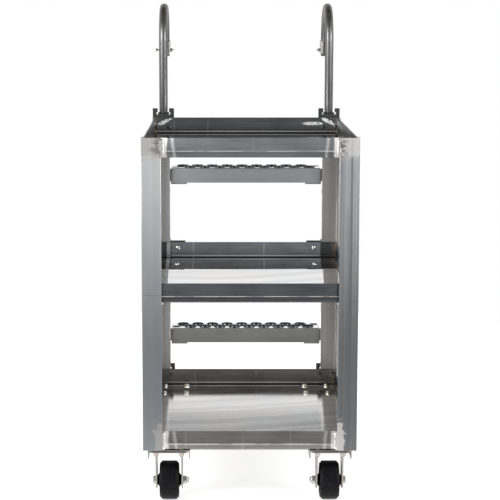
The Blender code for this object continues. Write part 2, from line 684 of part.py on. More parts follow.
def build_ladder():
    ladder = empty("ladder_slide", (0, 0, 0))
    flap_z = GUIDE_TOPS["bottom"] - NOTCH_DEPTH - FLAP_THICK
    for level, top_z in STEP_TOPS.items():
        step(level, top_z, ladder)
    for side_name, side in SIDES.items():
        rail("rail_" + side_name, side, ladder)
        foot("foot_" + side_name, side, ladder)
        stop_low = flap_z - GAP - STOP_COLLAR_HEIGHT
        rail_collar("stop_collar_" + side_name, side, STOP_COLLAR_RADIUS, stop_low, flap_z - GAP, ladder)
        seat = SPRING_TOP_Z + GAP
        seat_top = seat + SPRING_COLLAR_HEIGHT
        rail_collar("spring_collar_" + side_name, side, SPRING_COLLAR_RADIUS, seat, seat_top, ladder)
        spring("spring_" + side_name, side)
        rail_cap("handrail_cap_" + side_name, side, ladder)
        hanger_plate("hanger_plate_" + side_name, side, ladder)
        hanger_bolt("hanger_bolt_" + side_name, side, BOLT_STAND_OFF[side_name], ladder)
        for level, top_z in STEP_TOPS.items():
            step_end(level, side_name, side, top_z, ladder)


def build_casters():
    for side_name, side in SIDES.items():
        front = (side * CASTER_X, FRONT_Y + FRONT_AXLE_INSET, 0)
        front_axle = (front[0], front[1], WHEEL_RADIUS)
        rigid_caster_frame("front_caster_frame_" + side_name, front)
        wheel("front_wheel_" + side_name, front_axle)
        axle_bolt("front_axle_bolt_" + side_name, side, front_axle, None)
        axle_nut("front_axle_nut_" + side_name, side, front_axle, None)
        kingpin = (side * CASTER_X, REAR_Y - KINGPIN_INSET, 0)
        swivel = empty("rear_swivel_" + side_name, kingpin)
        swivel_plate("rear_caster_plate_" + side_name, kingpin)
        swivel_fork("rear_caster_fork_" + side_name, kingpin, swivel)
        rear_axle = (kingpin[0], kingpin[1] + TRAIL, WHEEL_RADIUS)
        wheel("rear_wheel_" + side_name, rear_axle)
        hung = (0, TRAIL, WHEEL_RADIUS)
        axle_bolt("rear_axle_bolt_" + side_name, side, hung, swivel)
        axle_nut("rear_axle_nut_" + side_name, side, hung, swivel)


build_frame()
build_ladder()
build_casters()
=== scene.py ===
"""Looks of a mobile ladder stand: an aluminium tray cart with a spring-held ladder, around its CAD."""

import math
import random

import bmesh
import bpy
from mathutils import Matrix, Vector


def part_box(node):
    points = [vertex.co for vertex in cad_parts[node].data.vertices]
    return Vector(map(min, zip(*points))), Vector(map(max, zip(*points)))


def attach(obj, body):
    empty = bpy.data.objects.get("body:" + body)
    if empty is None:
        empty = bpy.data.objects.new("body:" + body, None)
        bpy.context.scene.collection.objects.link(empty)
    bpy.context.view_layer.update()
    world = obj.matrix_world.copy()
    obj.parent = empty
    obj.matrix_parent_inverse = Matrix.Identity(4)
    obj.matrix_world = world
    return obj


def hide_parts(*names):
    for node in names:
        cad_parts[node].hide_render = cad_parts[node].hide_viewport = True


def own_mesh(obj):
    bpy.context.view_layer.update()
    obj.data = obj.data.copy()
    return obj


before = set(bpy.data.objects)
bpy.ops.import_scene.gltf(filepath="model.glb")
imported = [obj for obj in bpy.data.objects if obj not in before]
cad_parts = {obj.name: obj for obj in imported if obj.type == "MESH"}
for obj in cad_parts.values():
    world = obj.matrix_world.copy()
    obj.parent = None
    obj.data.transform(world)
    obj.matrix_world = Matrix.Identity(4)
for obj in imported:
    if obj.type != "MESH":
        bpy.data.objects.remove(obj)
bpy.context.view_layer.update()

# Corner posts: four 2 x 2 in aluminium angles, extruded and sawn to length, that stand outside the trays and
# are welded to their lips. The die leaves upright lines, and the front pair is ground at the welds.
SIDES = {"left": -1, "right": 1}
INCH = 0.0254
POST_FLANGE = 2 * INCH
POST_WALL = 0.0048
post_low, post_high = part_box("post_front_left")
front_y = post_low.y
rear_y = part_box("post_rear_left")[1].y
half_width = -post_low.x
deck_z = post_high.z
foot_z = post_low.z
toe_x = half_width - POST_FLANGE
SCRATCH_Z = 0.552  # one long scratch across the front pair


class Value:
    """A socket to reckon with: each operator on it adds a Math node."""

    def __init__(self, nodes, socket):
        self.nodes = nodes
        self.socket = socket

    def maths(self, operation, *terms):
        return self.nodes.node("ShaderNodeMath", {"operation": operation}, dict(enumerate(terms)))

    def __add__(self, other):
        return self.maths("ADD", self, other)

    def __sub__(self, other):
        return self.maths("SUBTRACT", self, other)

    def __rsub__(self, other):
        return self.maths("SUBTRACT", other, self)

    def __mul__(self, other):
        return self.maths("MULTIPLY", self, other)

    def __truediv__(self, other):
        return self.maths("DIVIDE", self, other)

    def __abs__(self):
        return self.maths("ABSOLUTE", self)

    def or_more(self, other):
        return self.maths("MAXIMUM", self, other)

    __radd__ = __add__
    __rmul__ = __mul__


class Nodes:
    """The node tree of a material or of the sky, and the ways of adding to it."""

    def __init__(self, owner, coordinates):
        owner.use_nodes = True
        self.tree = owner.node_tree
        self.place = self.node("ShaderNodeTexCoord", output=coordinates)
        split = self.node("ShaderNodeSeparateXYZ", {}, {"Vector": self.place}).socket.node
        self.x, self.y, self.z = (Value(self, socket) for socket in split.outputs)

    def node(self, kind, settings=(), inputs=(), output=0):
        """Adds a node, gives it its settings and then the values or links of its sockets."""
        made = self.tree.nodes.new(kind)
        for name, setting in dict(settings).items():
            setattr(made, name, setting)
        for name, value in dict(inputs).items():
            if isinstance(value, Value):
                self.tree.links.new(value.socket, made.inputs[name])
            else:
                made.inputs[name].default_value = value
        return Value(self, made.outputs[output])

    def blend(self, share, first, second):
        """A colour between two."""
        return self.node("ShaderNodeMix", {"data_type": "RGBA"}, {0: share, 6: first, 7: second}, 2)

    def noise(self, scale, stretch=(1, 1, 1), detail=3.0, turn=(0, 0, 0)):
        """Noise of that many grains to the metre, drawn out where stretch is under 1."""
        where = self.node("ShaderNodeMapping", {}, {"Vector": self.place, "Rotation": turn, "Scale": stretch})
        return self.node("ShaderNodeTexNoise", {}, {"Vector": where, "Scale": scale, "Detail": detail})

    def between(self, value, low, high):
        """0 at low and 1 at high, with a smooth rise."""
        limits = {"Value": value, "From Min": low, "From Max": high}
        return self.node("ShaderNodeMapRange", {"interpolation_type": "SMOOTHSTEP"}, limits)

    def band(self, value, centre, half, soft):
        """1 within half of the centre, fading out over the soft distance."""
        return self.between(abs(value - centre), half + soft, half)

    def spot(self, across, centre_across, half_across, up, centre_up, half_up, lean=0.0):
        """1 inside an oval that leans by an angle, fading out past its edge."""
        u = across - centre_across
        v = up - centre_up
        along = (u * math.cos(lean) + v * math.sin(lean)) / half_across
        over = (v * math.cos(lean) - u * math.sin(lean)) / half_up
        return self.between(along * along + over * over, 1.15, 0.6)


class Finish(Nodes):
    """A surface finish: a material whose shader gets its constants first and its patterns after."""

    def __init__(self, name, metallic=1.0):
        self.material = bpy.data.materials.new(name)
        super().__init__(self.material, "Object")
        self.shader = self.tree.nodes["Principled BSDF"]
        self.shader.inputs["Metallic"].default_value = metallic

    def wear(self, colour, roughness, height=None, depth=0.0):
        """Links the patterns of colour and roughness, and a height map as relief. Returns the material."""
        self.tree.links.new(colour.socket, self.shader.inputs["Base Color"])
        self.tree.links.new(roughness.socket, self.shader.inputs["Roughness"])
        if height:
            relief = self.node("ShaderNodeBump", {}, {"Height": height, "Distance": depth, "Strength": 1.0})
            self.tree.links.new(relief.socket, self.shader.inputs["Normal"])
        return self.material


def tint(level, warmth=0.0):
    """A grey of that level, warmer in tone above 0 and cooler below."""
    return (level * (1 + warmth), level, level * (1 - warmth), 1.0)


def post_finish(name, tone, warmth, lines, ground_tone, foot_shade):
    """Mill-finish extrusion: upright die lines, faint clouds, painted shade that darkens it towards the foot,
    and ground corners.
    """
    finish = Finish(name)
    bands = finish.noise(150, (1, 1, 0.004), 1.0)
    fine = finish.noise(1100, (1, 1, 0.006), 2.0)
    clouds = finish.between(finish.noise(7, (1, 1, 0.5)), 0.35, 0.65)
    colour = finish.blend(clouds, tint(tone * 0.95, warmth * 1.5), tint(tone * 1.08, 0.0))
    shade = finish.between(bands * 0.8 + fine * 0.2, 0.40, 0.62)
    colour = finish.blend(shade * lines, colour, tint(tone * 0.42, warmth))
    streak = finish.between(bands * 0.7 + fine * 0.3, 0.36, 0.30)
    colour = finish.blend(streak * lines, colour, tint(min(1.0, tone * 1.5), 0.0))
    # Painted shade: the post's colour darkens from the deck down towards its foot.
    painted_foot_shade = finish.between(finish.z, deck_z - 0.05, foot_z + 0.24)
    colour = finish.blend(painted_foot_shade * foot_shade, colour, tint(tone * 0.30, warmth))
    ragged = (finish.noise(70, detail=5.0) - 0.5) * 0.05
    across = abs(finish.x) + ragged
    up = finish.z + ragged
    top = finish.between(up, deck_z - 0.060, deck_z - 0.035)
    bottom = finish.spot(across, toe_x, 0.022, up, foot_z + 0.026, 0.056)
    front = finish.between(finish.y, front_y + 0.06, front_y + 0.03)
    ground = top.or_more(bottom) * front
    swirl = finish.noise(260, (1, 1, 0.35), 4.0, (0, 0.6, 0))
    sooty = finish.between(across, toe_x + 0.030, toe_x + 0.004) * top * front
    mottle = finish.between(finish.noise(110, detail=4.0), 0.38, 0.54)
    colour = finish.blend(ground * 0.7, colour, tint(ground_tone, 0.03))
    colour = finish.blend(sooty * mottle * 0.85, colour, tint(0.17, 0.06))
    scuffs = finish.between(finish.noise(34, (1, 1, 0.12), 5.0), 0.66, 0.72)
    colour = finish.blend(scuffs * 0.25, colour, tint(0.35, warmth))
    scratch = finish.band(finish.z + finish.x * 0.03, SCRATCH_Z, 0.0006, 0.001) * front * finish.noise(60)
    colour = finish.blend(scratch * 0.8, colour, tint(0.2))
    roughness = 0.40 + fine * 0.12 + ground * 0.08 + swirl * ground * 0.1
    return finish.wear(colour, roughness, fine + ground * swirl * 2, 0.00006)


def picked(items, kind):
    """The verts, the edges or the faces among an operator's results."""
    return [item for item in items if isinstance(item, kind)]


def extruded(outline, axis, start, end):
    """A closed bar: an outline across the axis, extruded along it."""
    order = {
        "X": lambda u, v: (start, u, v),
        "Y": lambda u, v: (u, start, v),
        "Z": lambda u, v: (u, v, start),
    }
    bm = bmesh.new()
    face = bm.faces.new([bm.verts.new(order[axis](u, v)) for u, v in outline])
    grown = bmesh.ops.extrude_face_region(bm, geom=[face])["geom"]
    shift = Vector([end - start if axis == letter else 0 for letter in "XYZ"])
    bmesh.ops.translate(bm, vec=shift, verts=picked(grown, bmesh.types.BMVert))
    return bm


def rounded(bm, chosen, radius, segments=3):
    """Rounds the edges that the chooser picks."""
    edges = [edge for edge in bm.edges if chosen(*(vert.co for vert in edge.verts))]
    bmesh.ops.bevel(
        bm, geom=edges, offset=radius, segments=segments, profile=0.5, affect="EDGES", material=-1
    )
    return bm


def eased(piece, width, angle):
    """Breaks the edges sharper than an angle by a fine radius."""
    broken = piece.modifiers.new("Edge", "BEVEL")
    broken.width = width
    broken.segments = 2
    broken.limit_method = "ANGLE"
    broken.angle_limit = math.radians(angle)


def finished(name, bm, body, materials, stands_for=(), edge=0.0, smooth=35):
    """The piece made from a bmesh: normals outwards, edges eased, riding on its body."""
    bmesh.ops.remove_doubles(bm, verts=bm.verts, dist=0.000001)
    bmesh.ops.recalc_face_normals(bm, faces=bm.faces)
    mesh = bpy.data.meshes.new(name)
    bm.to_mesh(mesh)
    bm.free()
    mesh.shade_smooth()
    mesh.set_sharp_from_angle(angle=math.radians(smooth))
    for material in materials:
        mesh.materials.append(material)
    made = bpy.data.objects.new(name, mesh)
    bpy.context.scene.collection.objects.link(made)
    if edge:
        eased(made, edge, 40)
    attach(made, body)
    if stands_for:
        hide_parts(*stands_for)
    return made


# The four posts are one aluminium angle: the rear pair's darker, warmer tone is painted shade, and the front
# left's bluer tint is painted reflection.
post_finishes = {
    "front_left": post_finish("post_front_left_finish", 0.80, -0.06, 0.12, 0.45, 0.78),
    "front_right": post_finish("post_front_right_finish", 0.72, -0.03, 0.85, 0.80, 0.90),
    "rear": post_finish("post_rear_finish", 0.54, 0.03, 0.25, 0.54, 0.10),
}
for side_name, side in SIDES.items():
    for end_name, end_y, inward in (("front", front_y, 1), ("rear", rear_y, -1)):
        heel = side * half_width
        across = [0, POST_FLANGE, POST_FLANGE, POST_WALL, POST_WALL, 0]
        along = [0, 0, POST_WALL, POST_WALL, POST_FLANGE, POST_FLANGE]
        outline = [(heel - side * u, end_y + inward * v) for u, v in zip(across, along)]
        inner_corner = Vector((heel - side * POST_WALL, end_y + inward * POST_WALL))
        angle = extruded(outline, "Z", foot_z, deck_z)
        rounded(angle, lambda a, b: max((c.xy - inner_corner).length for c in (a, b)) < 0.00005, 0.003, 4)
        look = post_finishes["rear" if end_name == "rear" else f"front_{side_name}"]
        finished(
            f"corner_angle_{end_name}_{side_name}", angle, "frame", [look],
            [f"post_{end_name}_{side_name}"], edge=0.0007,
        )

# Trays: three pans folded from 1/8 in aluminium sheet with 2 in lips. The press brake leaves a line on each
# lip's outside. Floors are bright and buffed in arcs. Lips are duller, scratched, and ground at the welds.
TRAY_SHEET = 0.0032
TRAY_BEND = 0.0075
MARK_DROP = 0.034  # from the lip's top edge to the press line
MARK_HALF = 0.0007
MARK_RISE = 0.00025
BUFF_CENTRE = (-0.30, 1.25, 0.0)
FLOOR_GLOSS = {"top": 0.04, "middle": 0.012, "bottom": 0.08}
# Tone and warmth of each tray's lips, and the tone of their inner faces. The lips are one sheet, so the
# darker, bluish middle and the warm bottom are painted reflection, and the dark inner faces are painted shade
# under the tray above.
LIP_TONES = {"top": (0.32, -0.05, 0.117), "middle": (0.145, -0.08, 0.234), "bottom": (0.25, 0.05, 0.144)}
# How strong are the scratches, the ground ends, the smears inside the rear lip and the seam's painted shadow.
LIP_WEAR_AND_SHADOW = {"top": (0.12, 1.0, 0.99, 0.0), "middle": (1.0, 0.0, 0.0, 0.9), "bottom": (0.15, 0.7, 0.0, 0.27)}
tray_low, tray_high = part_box("tray_top")
lip_height = tray_high.z - tray_low.z
lip_reach = (tray_high.y - tray_low.y) / 2
lip_half = tray_high.x


def floor_finish(level):
    """Bright rolled sheet: wide buffing arcs in faintly rosy and bluish tones, fine grain and a few pits."""
    finish = Finish(f"tray_{level}_floor_finish")
    gloss = FLOOR_GLOSS[level]
    ends = {0: finish.place, 1: BUFF_CENTRE}
    sweep = finish.node("ShaderNodeVectorMath", {"operation": "DISTANCE"}, ends, "Value")
    bent = sweep + finish.noise(2.5) * 0.10
    along = {"noise_dimensions": "1D"}
    arcs = finish.node("ShaderNodeTexNoise", along, {"W": bent, "Scale": 22, "Detail": 4})
    hairs = finish.node("ShaderNodeTexNoise", along, {"W": bent, "Scale": 900, "Detail": 2})
    light = finish.blend(finish.between(finish.noise(5), 0.4, 0.6), tint(0.74, 0.05), tint(0.72, -0.02))
    colour = finish.blend(finish.between(arcs, 0.35, 0.65), tint(0.58, 0.0), light)
    pits = finish.between(finish.noise(160, detail=1.0), 0.74, 0.78)
    colour = finish.blend(pits * 0.35, colour, tint(0.30, 0.02))
    roughness = gloss + (arcs * 0.09 + hairs * 0.05) * (gloss * 8)
    return finish.wear(colour, roughness, hairs + arcs, 0.00002 * gloss * 8)


def lip_inside(finish, shade, from_middle, fold_z, tone, warmth):
    """A lip's inner face in painted shade: a bright line over a dark crease of painted shade at the fold, and
    side lips darker still in painted shade.
    """
    colour = finish.blend(shade, tint(tone * 0.85, warmth), tint(tone * 1.15, warmth + 0.01))
    fold = finish.band(finish.z, fold_z + 0.0095, 0.0007, 0.0010)
    colour = finish.blend(fold * 0.8, colour, tint(0.8, 0.02))
    # Painted shade in the crease where the lip folds into the floor.
    crease_shade = finish.between(finish.z, fold_z + 0.0080, fold_z + 0.0070)
    colour = finish.blend(crease_shade * 0.8, colour, tint(0.03, 0.1))
    # Painted shade down the inside of the side lips.
    side_lip_shade = finish.between(from_middle, lip_reach - 0.004, lip_reach - 0.008)
    return finish.blend(side_lip_shade * 0.7, colour, tint(0.03, 0.12))


def weld_dressing(finish, across, top_z, ground, smear):
    """Bright metal by the welds: ground ends in front, and ragged smears inside the rear lip."""
    front = finish.between(finish.y, front_y + 0.05, front_y + 0.02)
    slant = finish.band(across - finish.z * 0.12, 0.199 - top_z * 0.12, 0.0008, 0.006) * 0.5
    ends = finish.band(across, toe_x - 0.006, 0.007, 0.006).or_more(slant)
    rear = finish.between(finish.y, rear_y - 0.012, rear_y - 0.007)
    ragged = (finish.noise(120, detail=4.0) - 0.5) * 0.012
    stroke = finish.spot(across + ragged, 0.244, 0.024, finish.z + ragged, top_z - 0.012, 0.0050, -0.45)
    strip = finish.spot(finish.x, 0.198, 0.033, finish.z, top_z - 0.018, 0.0052)
    smears = stroke.or_more(strip) * rear * finish.between(finish.noise(200, detail=4.0), 0.25, 0.55)
    return (ends * front * ground).or_more(smears * smear)


def lip_finish(level, top_z):
    """A lip's sheet: rolled grain along it, a worn press line, scratches, tarnished corners, bright ends, a
    painted seam shadow, and an inner face in painted shade.
    """
    tone, warmth, inner_shade_tone = LIP_TONES[level]
    scratches, ground, smear, shadow = LIP_WEAR_AND_SHADOW[level]
    finish = Finish(f"tray_{level}_lip_finish")
    grain = finish.noise(700, (0.02, 0.02, 1), 2.0)
    clouds = finish.noise(11, (1, 1, 1.5))
    shade = finish.between(grain * 0.5 + clouds * 0.5, 0.35, 0.65)
    colour = finish.blend(shade, tint(tone * 0.82, warmth), tint(tone * 1.15, warmth))
    across = abs(finish.x) + (finish.noise(45, (1, 1, 0.5)) - 0.5) * 0.012
    from_middle = abs(finish.y - (front_y + rear_y) / 2)
    near, far = 0.3 * TRAY_SHEET, 0.7 * TRAY_SHEET
    outside = finish.between(from_middle, lip_reach - far, lip_reach - near)
    inside = (1 - outside) * finish.between(abs(finish.x), lip_half - near, lip_half - far)
    # Painted shade: the lip's inner face gets the darker colour from lip_inside.
    shaded_inner_face = lip_inside(finish, shade, from_middle, top_z - lip_height, inner_shade_tone, warmth)
    colour = finish.blend(inside, colour, shaded_inner_face)
    # Painted shadow along the seam where the lip passes behind the post.
    seam = finish.between(across, toe_x - 0.005, toe_x - 0.002)
    colour = finish.blend(seam * shadow, colour, tint(0.05))
    corner = finish.between(from_middle, lip_reach - 0.03, lip_reach - 0.01)
    tarnish = finish.between(abs(finish.x), half_width - 0.03, half_width - 0.004) * clouds * corner
    colour = finish.blend(tarnish * 0.8, colour, (0.30, 0.23, 0.17, 1.0))
    upright = finish.between(finish.noise(60, (1, 1, 0.05), 1.0), 0.71, 0.74)
    leaning = finish.between(finish.noise(45, (1, 1, 0.07), 1.0, (0, 0.45, 0)), 0.72, 0.75)
    colour = finish.blend(upright.or_more(leaning) * scratches * 0.5, colour, tint(0.75))
    worn = 0.45 + finish.between(finish.noise(30, (1, 1, 0.2), 4.0), 0.38, 0.55) * 0.55
    press = finish.band(finish.z, top_z - MARK_DROP, MARK_HALF * 0.9, 0.0006) * worn * outside
    bright = weld_dressing(finish, across, top_z, ground, smear)
    colour = finish.blend(press.or_more(bright), colour, tint(0.93, 0.01))
    roughness = 0.30 + grain * 0.08 + bright * 0.22 + press * 0.1
    return finish.wear(colour, roughness, grain, 0.00003)


def everything(bm):
    return bm.verts[:] + bm.edges[:] + bm.faces[:]


def walled(piece, thickness):
    """Gives a single skin its thickness, inwards."""
    wall = piece.modifiers.new("Wall", "SOLIDIFY")
    wall.thickness = thickness
    wall.offset = -1
    wall.use_even_offset = True


def tray_shell(low, high):
    """The outer skin of a pan, with round folds and a slight ridge along the press line."""
    bm = bmesh.new()
    bmesh.ops.create_cube(bm, size=1)
    bmesh.ops.scale(bm, vec=high - low, verts=bm.verts)
    bmesh.ops.translate(bm, vec=(low + high) / 2, verts=bm.verts)
    lid = [face for face in bm.faces if face.normal.z > 0.5]
    bmesh.ops.delete(bm, geom=lid, context="FACES_ONLY")
    rounded(bm, lambda a, b: max(a.z, b.z) < low.z + 0.001, TRAY_BEND, 5)
    mark_z = high.z - MARK_DROP
    for z in (mark_z - MARK_HALF, mark_z, mark_z + MARK_HALF):
        bmesh.ops.bisect_plane(bm, geom=everything(bm), plane_co=(0, 0, z), plane_no=(0, 0, 1))
    middle = (low + high) / 2
    for vert in bm.verts:
        if abs(vert.co.z - mark_z) < 0.00001:
            for axis in (0, 1):
                on_wall = min(abs(vert.co[axis] - low[axis]), abs(vert.co[axis] - high[axis])) < 0.00001
                vert.co[axis] += math.copysign(MARK_RISE, vert.co[axis] - middle[axis]) * on_wall
    for face in bm.faces:
        face.material_index = 0 if abs(face.normal.z) > 0.9 else 1
    return bm


lip_tops = {}
for level in ("top", "middle", "bottom"):
    low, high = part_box("tray_" + level)
    lip_tops[level] = high.z
    pan = finished(
        f"folded_tray_{level}", tray_shell(low, high), "frame",
        [floor_finish(level), lip_finish(level, high.z)], ["tray_" + level], smooth=50,
    )
    walled(pan, TRAY_SHEET)
    eased(pan, 0.0005, 60)

# Welds: a bead down each post's toes where the top and bottom lips pass behind it, dressed with a grinder in
# front, and short tacks under the middle tray. They are bright, rippled aluminium with dark pits.
BEAD_SIDES = 12
BEAD_SUNK = 0.0004
RIPPLE_PITCH = 0.0032
DRESSED_BEAD = (0.0062, 0.0030, 0.03)  # half width, half depth, height of the ripples as a share
ROUGH_BEAD = (0.0034, 0.0036, 0.07)
TOE_BEAD = (0.0032, 0.0034, 0.07)
TACK_LENGTH = 0.007
chance = random.Random(4)


def weld_finish():
    finish = Finish("weld_finish")
    smut = finish.between(finish.noise(170, detail=4.0), 0.56, 0.66)
    colour = finish.blend(smut * 0.7, tint(0.92, 0.01), tint(0.30, 0.05))
    return finish.wear(colour, 0.34 + smut * 0.2, finish.noise(420), 0.0003)


def bead(length, half_x, half_y, ripple, place=(0, 0, 0)):
    """An upright bead: a bar of oval section whose skin ripples, rounded at both ends."""
    bm = bmesh.new()
    bmesh.ops.create_cone(bm, cap_ends=True, segments=BEAD_SIDES, radius1=1, radius2=1, depth=1)
    long_edges = [edge for edge in bm.edges if abs(edge.verts[0].co.z - edge.verts[1].co.z) > 0.5]
    ripples = max(3, round(length / RIPPLE_PITCH))
    bmesh.ops.subdivide_edges(bm, edges=long_edges, cuts=4 * ripples - 1)
    start = chance.uniform(0, math.pi)
    for vert in bm.verts:
        share = 2 * vert.co.z
        swell = 1 + ripple * (math.sin(math.pi * share * ripples + start) + math.sin(9 * share + start))
        swell *= math.sqrt(max(0.04, 1 - abs(share) ** 6))
        vert.co = Vector((vert.co.x * half_x * swell, vert.co.y * half_y * swell, vert.co.z * length))
    bmesh.ops.translate(bm, vec=place, verts=bm.verts)
    return bm


def gathered(shapes):
    """Several shapes in one bmesh, each still its own body."""
    whole = bmesh.new()
    for shape in shapes:
        mesh = bpy.data.meshes.new("shape")
        shape.to_mesh(mesh)
        whole.from_mesh(mesh)
        bpy.data.meshes.remove(mesh)
        shape.free()
    return whole


weld = weld_finish()
for level, lip_z in lip_tops.items():
    tack = level == "middle"
    length = TACK_LENGTH if tack else lip_height - 0.004
    middle_z = lip_z - lip_height - 0.001 if tack else lip_z - lip_height / 2 - 0.001
    beads = []
    for side in SIDES.values():
        for end_y, inward in ((front_y, 1), (rear_y, -1)):
            wide = DRESSED_BEAD if inward > 0 and not tack else ROUGH_BEAD
            lip_y = end_y + inward * (POST_WALL - BEAD_SUNK)
            beads.append(bead(length, *wide, place=(side * (toe_x - wide[0] * 0.4), lip_y, middle_z)))
            wall_x = side * (half_width - POST_WALL + BEAD_SUNK)
            toe_y = end_y + inward * (POST_FLANGE + 0.0008)
            beads.append(bead(length, *TOE_BEAD, place=(wall_x, toe_y, middle_z)))
    finished(f"weld_beads_{level}", gathered(beads), "frame", [weld])

# Caster channels: two shallow channels of folded sheet, flanges down, that run under the bottom tray from end
# to end and take the casters' plates between their flanges.


def sheet_finish(name, tone, warmth, roughness, direction=(1, 0.03, 1)):
    """Plain mill sheet with rolling lines in one direction, clouds, thin scratches and a few dark specks."""
    finish = Finish(name)
    lines = finish.noise(800, direction, 2.0)
    clouds = finish.noise(14)
    shade = finish.between(lines * 0.4 + clouds * 0.6, 0.35, 0.65)
    colour = finish.blend(shade, tint(tone * 0.85, warmth), tint(tone * 1.12, warmth))
    scratches = finish.between(finish.noise(70, (1, 0.06, 0.5), 1.0, (0.3, 0.2, 0.4)), 0.71, 0.75)
    specks = finish.between(finish.noise(240, detail=1.0), 0.76, 0.80)
    colour = finish.blend(scratches * 0.4, colour, tint(min(1.0, tone * 1.6)))
    colour = finish.blend(specks * 0.6, colour, tint(0.12, 0.05))
    return finish.wear(colour, roughness + lines * 0.12 + clouds * 0.06, lines, 0.00004)


def from_cad(node):
    """A bmesh of a CAD node, with its triangles merged back into whole faces."""
    bm = bmesh.new()
    bm.from_mesh(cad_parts[node].data)
    bmesh.ops.remove_doubles(bm, verts=bm.verts, dist=0.000005)
    bmesh.ops.dissolve_limit(bm, angle_limit=0.01, verts=bm.verts, edges=bm.edges)
    for face in bm.faces:
        face.material_index = 0
    return bm


channel_look = sheet_finish("channel_finish", 0.42, 0.02, 0.34)
for side_name in SIDES:
    node = "caster_channel_" + side_name
    finished(
        "folded_channel_" + side_name, from_cad(node), "frame", [channel_look], [node],
        edge=0.0008,
    )

# Casters: pressed steel frames, zinc plated with a faint yellow passivate. The front pair is rigid, its fork
# welded to the top plate. The rear pair swivels on a ball race round a riveted kingpin, and trails.
FORK_GAP = 0.064
FORK_WALL = 0.004
LEG_BELOW_AXLE = 0.020
LEG_END_HALF = 0.021
AXLE_RADIUS = 0.25 * INCH
ROUND_SIDES = 48
plate_low, plate_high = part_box("rear_caster_plate_left")
plate_top = plate_high.z
PLATE_THICK = 0.004
PLATE_CORNER = 0.010
LEG_ROUND = 0.014
SHOULDER_BEND = 0.0045
FRONT_CROWN_HALF = 0.036
REAR_CROWN_HALF = 0.034
SWIVEL_CROWN_Z = 0.1160
plate_under = plate_top - PLATE_THICK
plate_half = Vector(((plate_high.x - plate_low.x) / 2, (plate_high.y - plate_low.y) / 2))
caster_x = -(plate_low.x + plate_high.x) / 2
front_axle = (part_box("front_wheel_left")[0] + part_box("front_wheel_left")[1]) / 2
rear_axle = (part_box("rear_wheel_left")[0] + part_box("rear_wheel_left")[1]) / 2
kingpin_y = (plate_low.y + plate_high.y) / 2
trail = rear_axle.y - kingpin_y
wheel_radius = front_axle.z


def zinc_finish(name, tone=0.34, warmth=0.05):
    """Zinc plate: small crystals of slightly different grey, yellowish clouds, and dull rubbed spots."""
    finish = Finish(name)
    crystals = finish.node("ShaderNodeTexVoronoi", {}, {"Vector": finish.place, "Scale": 900}, "Color")
    flake = finish.node("ShaderNodeSeparateColor", {}, {"Color": crystals})
    clouds = finish.noise(60)
    yellow = finish.between(clouds, 0.42, 0.62)
    colour = finish.blend(yellow, tint(tone, warmth / 3), tint(tone * 0.96, warmth * 1.8))
    colour = finish.blend(flake * 0.18, colour, tint(tone * 0.6, warmth))
    dull = finish.between(finish.noise(130, detail=5.0), 0.60, 0.70)
    colour = finish.blend(dull * 0.5, colour, tint(tone * 0.35, warmth * 2))
    return finish.wear(colour, 0.26 + clouds * 0.1 + dull * 0.25 + flake * 0.06, finish.noise(700), 0.00005)


def turned(profile, sides=ROUND_SIDES, closed=False):
    """A profile of (place on the axis, radius) turned about Z. An open profile is capped at its ends."""
    bm = bmesh.new()
    verts = [bm.verts.new((radius, 0, place)) for place, radius in profile]
    edges = [bm.edges.new(pair) for pair in zip(verts, verts[1:] + verts[:1] if closed else verts[1:])]
    bmesh.ops.spin(
        bm, geom=verts + edges, cent=(0, 0, 0), axis=(0, 0, 1), angle=2 * math.pi, steps=sides, use_merge=True
    )
    if not closed:
        bmesh.ops.holes_fill(bm, edges=bm.edges, sides=sides)
    return bm


def put(bm, place=(0, 0, 0), along="Z", way=1):
    """Turns a shape made on the Z axis to point along an axis, forwards or backwards, and moves it."""
    turns = {"X": Matrix.Rotation(math.radians(90), 4, "Y"), "Y": Matrix.Rotation(math.radians(-90), 4, "X")}
    turn = turns.get(along, Matrix.Identity(4))
    flip = Matrix.Rotation(math.pi, 4, "X") if way < 0 else Matrix.Identity(4)
    bmesh.ops.transform(bm, matrix=Matrix.Translation(place) @ turn @ flip, verts=bm.verts)
    return bm


def carved(bm, cutters):
    """What is left of a closed shape when closed cutters are taken from it."""
    helpers = []
    for shape in [bm, *cutters]:
        bmesh.ops.recalc_face_normals(shape, faces=shape.faces)
        mesh = bpy.data.meshes.new("helper")
        shape.to_mesh(mesh)
        shape.free()
        helpers.append(bpy.data.objects.new("helper", mesh))
        bpy.context.scene.collection.objects.link(helpers[-1])
    for helper in helpers[1:]:
        cut = helpers[0].modifiers.new("Cut", "BOOLEAN")
        cut.operation = "DIFFERENCE"
        cut.solver = "EXACT"
        cut.object = helper
    seen = helpers[0].evaluated_get(bpy.context.evaluated_depsgraph_get())
    left = bmesh.new()
    left.from_mesh(seen.to_mesh())
    seen.to_mesh_clear()
    for helper in helpers:
        bpy.data.objects.remove(helper)
    return left


def bar(radius, low, high, sides=ROUND_SIDES):
    return turned([(low, radius), (high, radius)], sides)


def plate_outline(half_x, half_y, radius, steps=5):
    """A rectangle about the origin with round corners."""
    corners = [(1, 1, 0), (-1, 1, 90), (-1, -1, 180), (1, -1, 270)]
    points = []
    for way_x, way_y, start in corners:
        for step in range(steps + 1):
            angle = math.radians(start + 90 * step / steps)
            x = way_x * (half_x - radius) + radius * math.cos(angle)
            points.append((x, way_y * (half_y - radius) + radius * math.sin(angle)))
    return points


def caster_plate():
    return extruded(plate_outline(plate_half.x, plate_half.y, PLATE_CORNER), "Z", plate_under, plate_top)


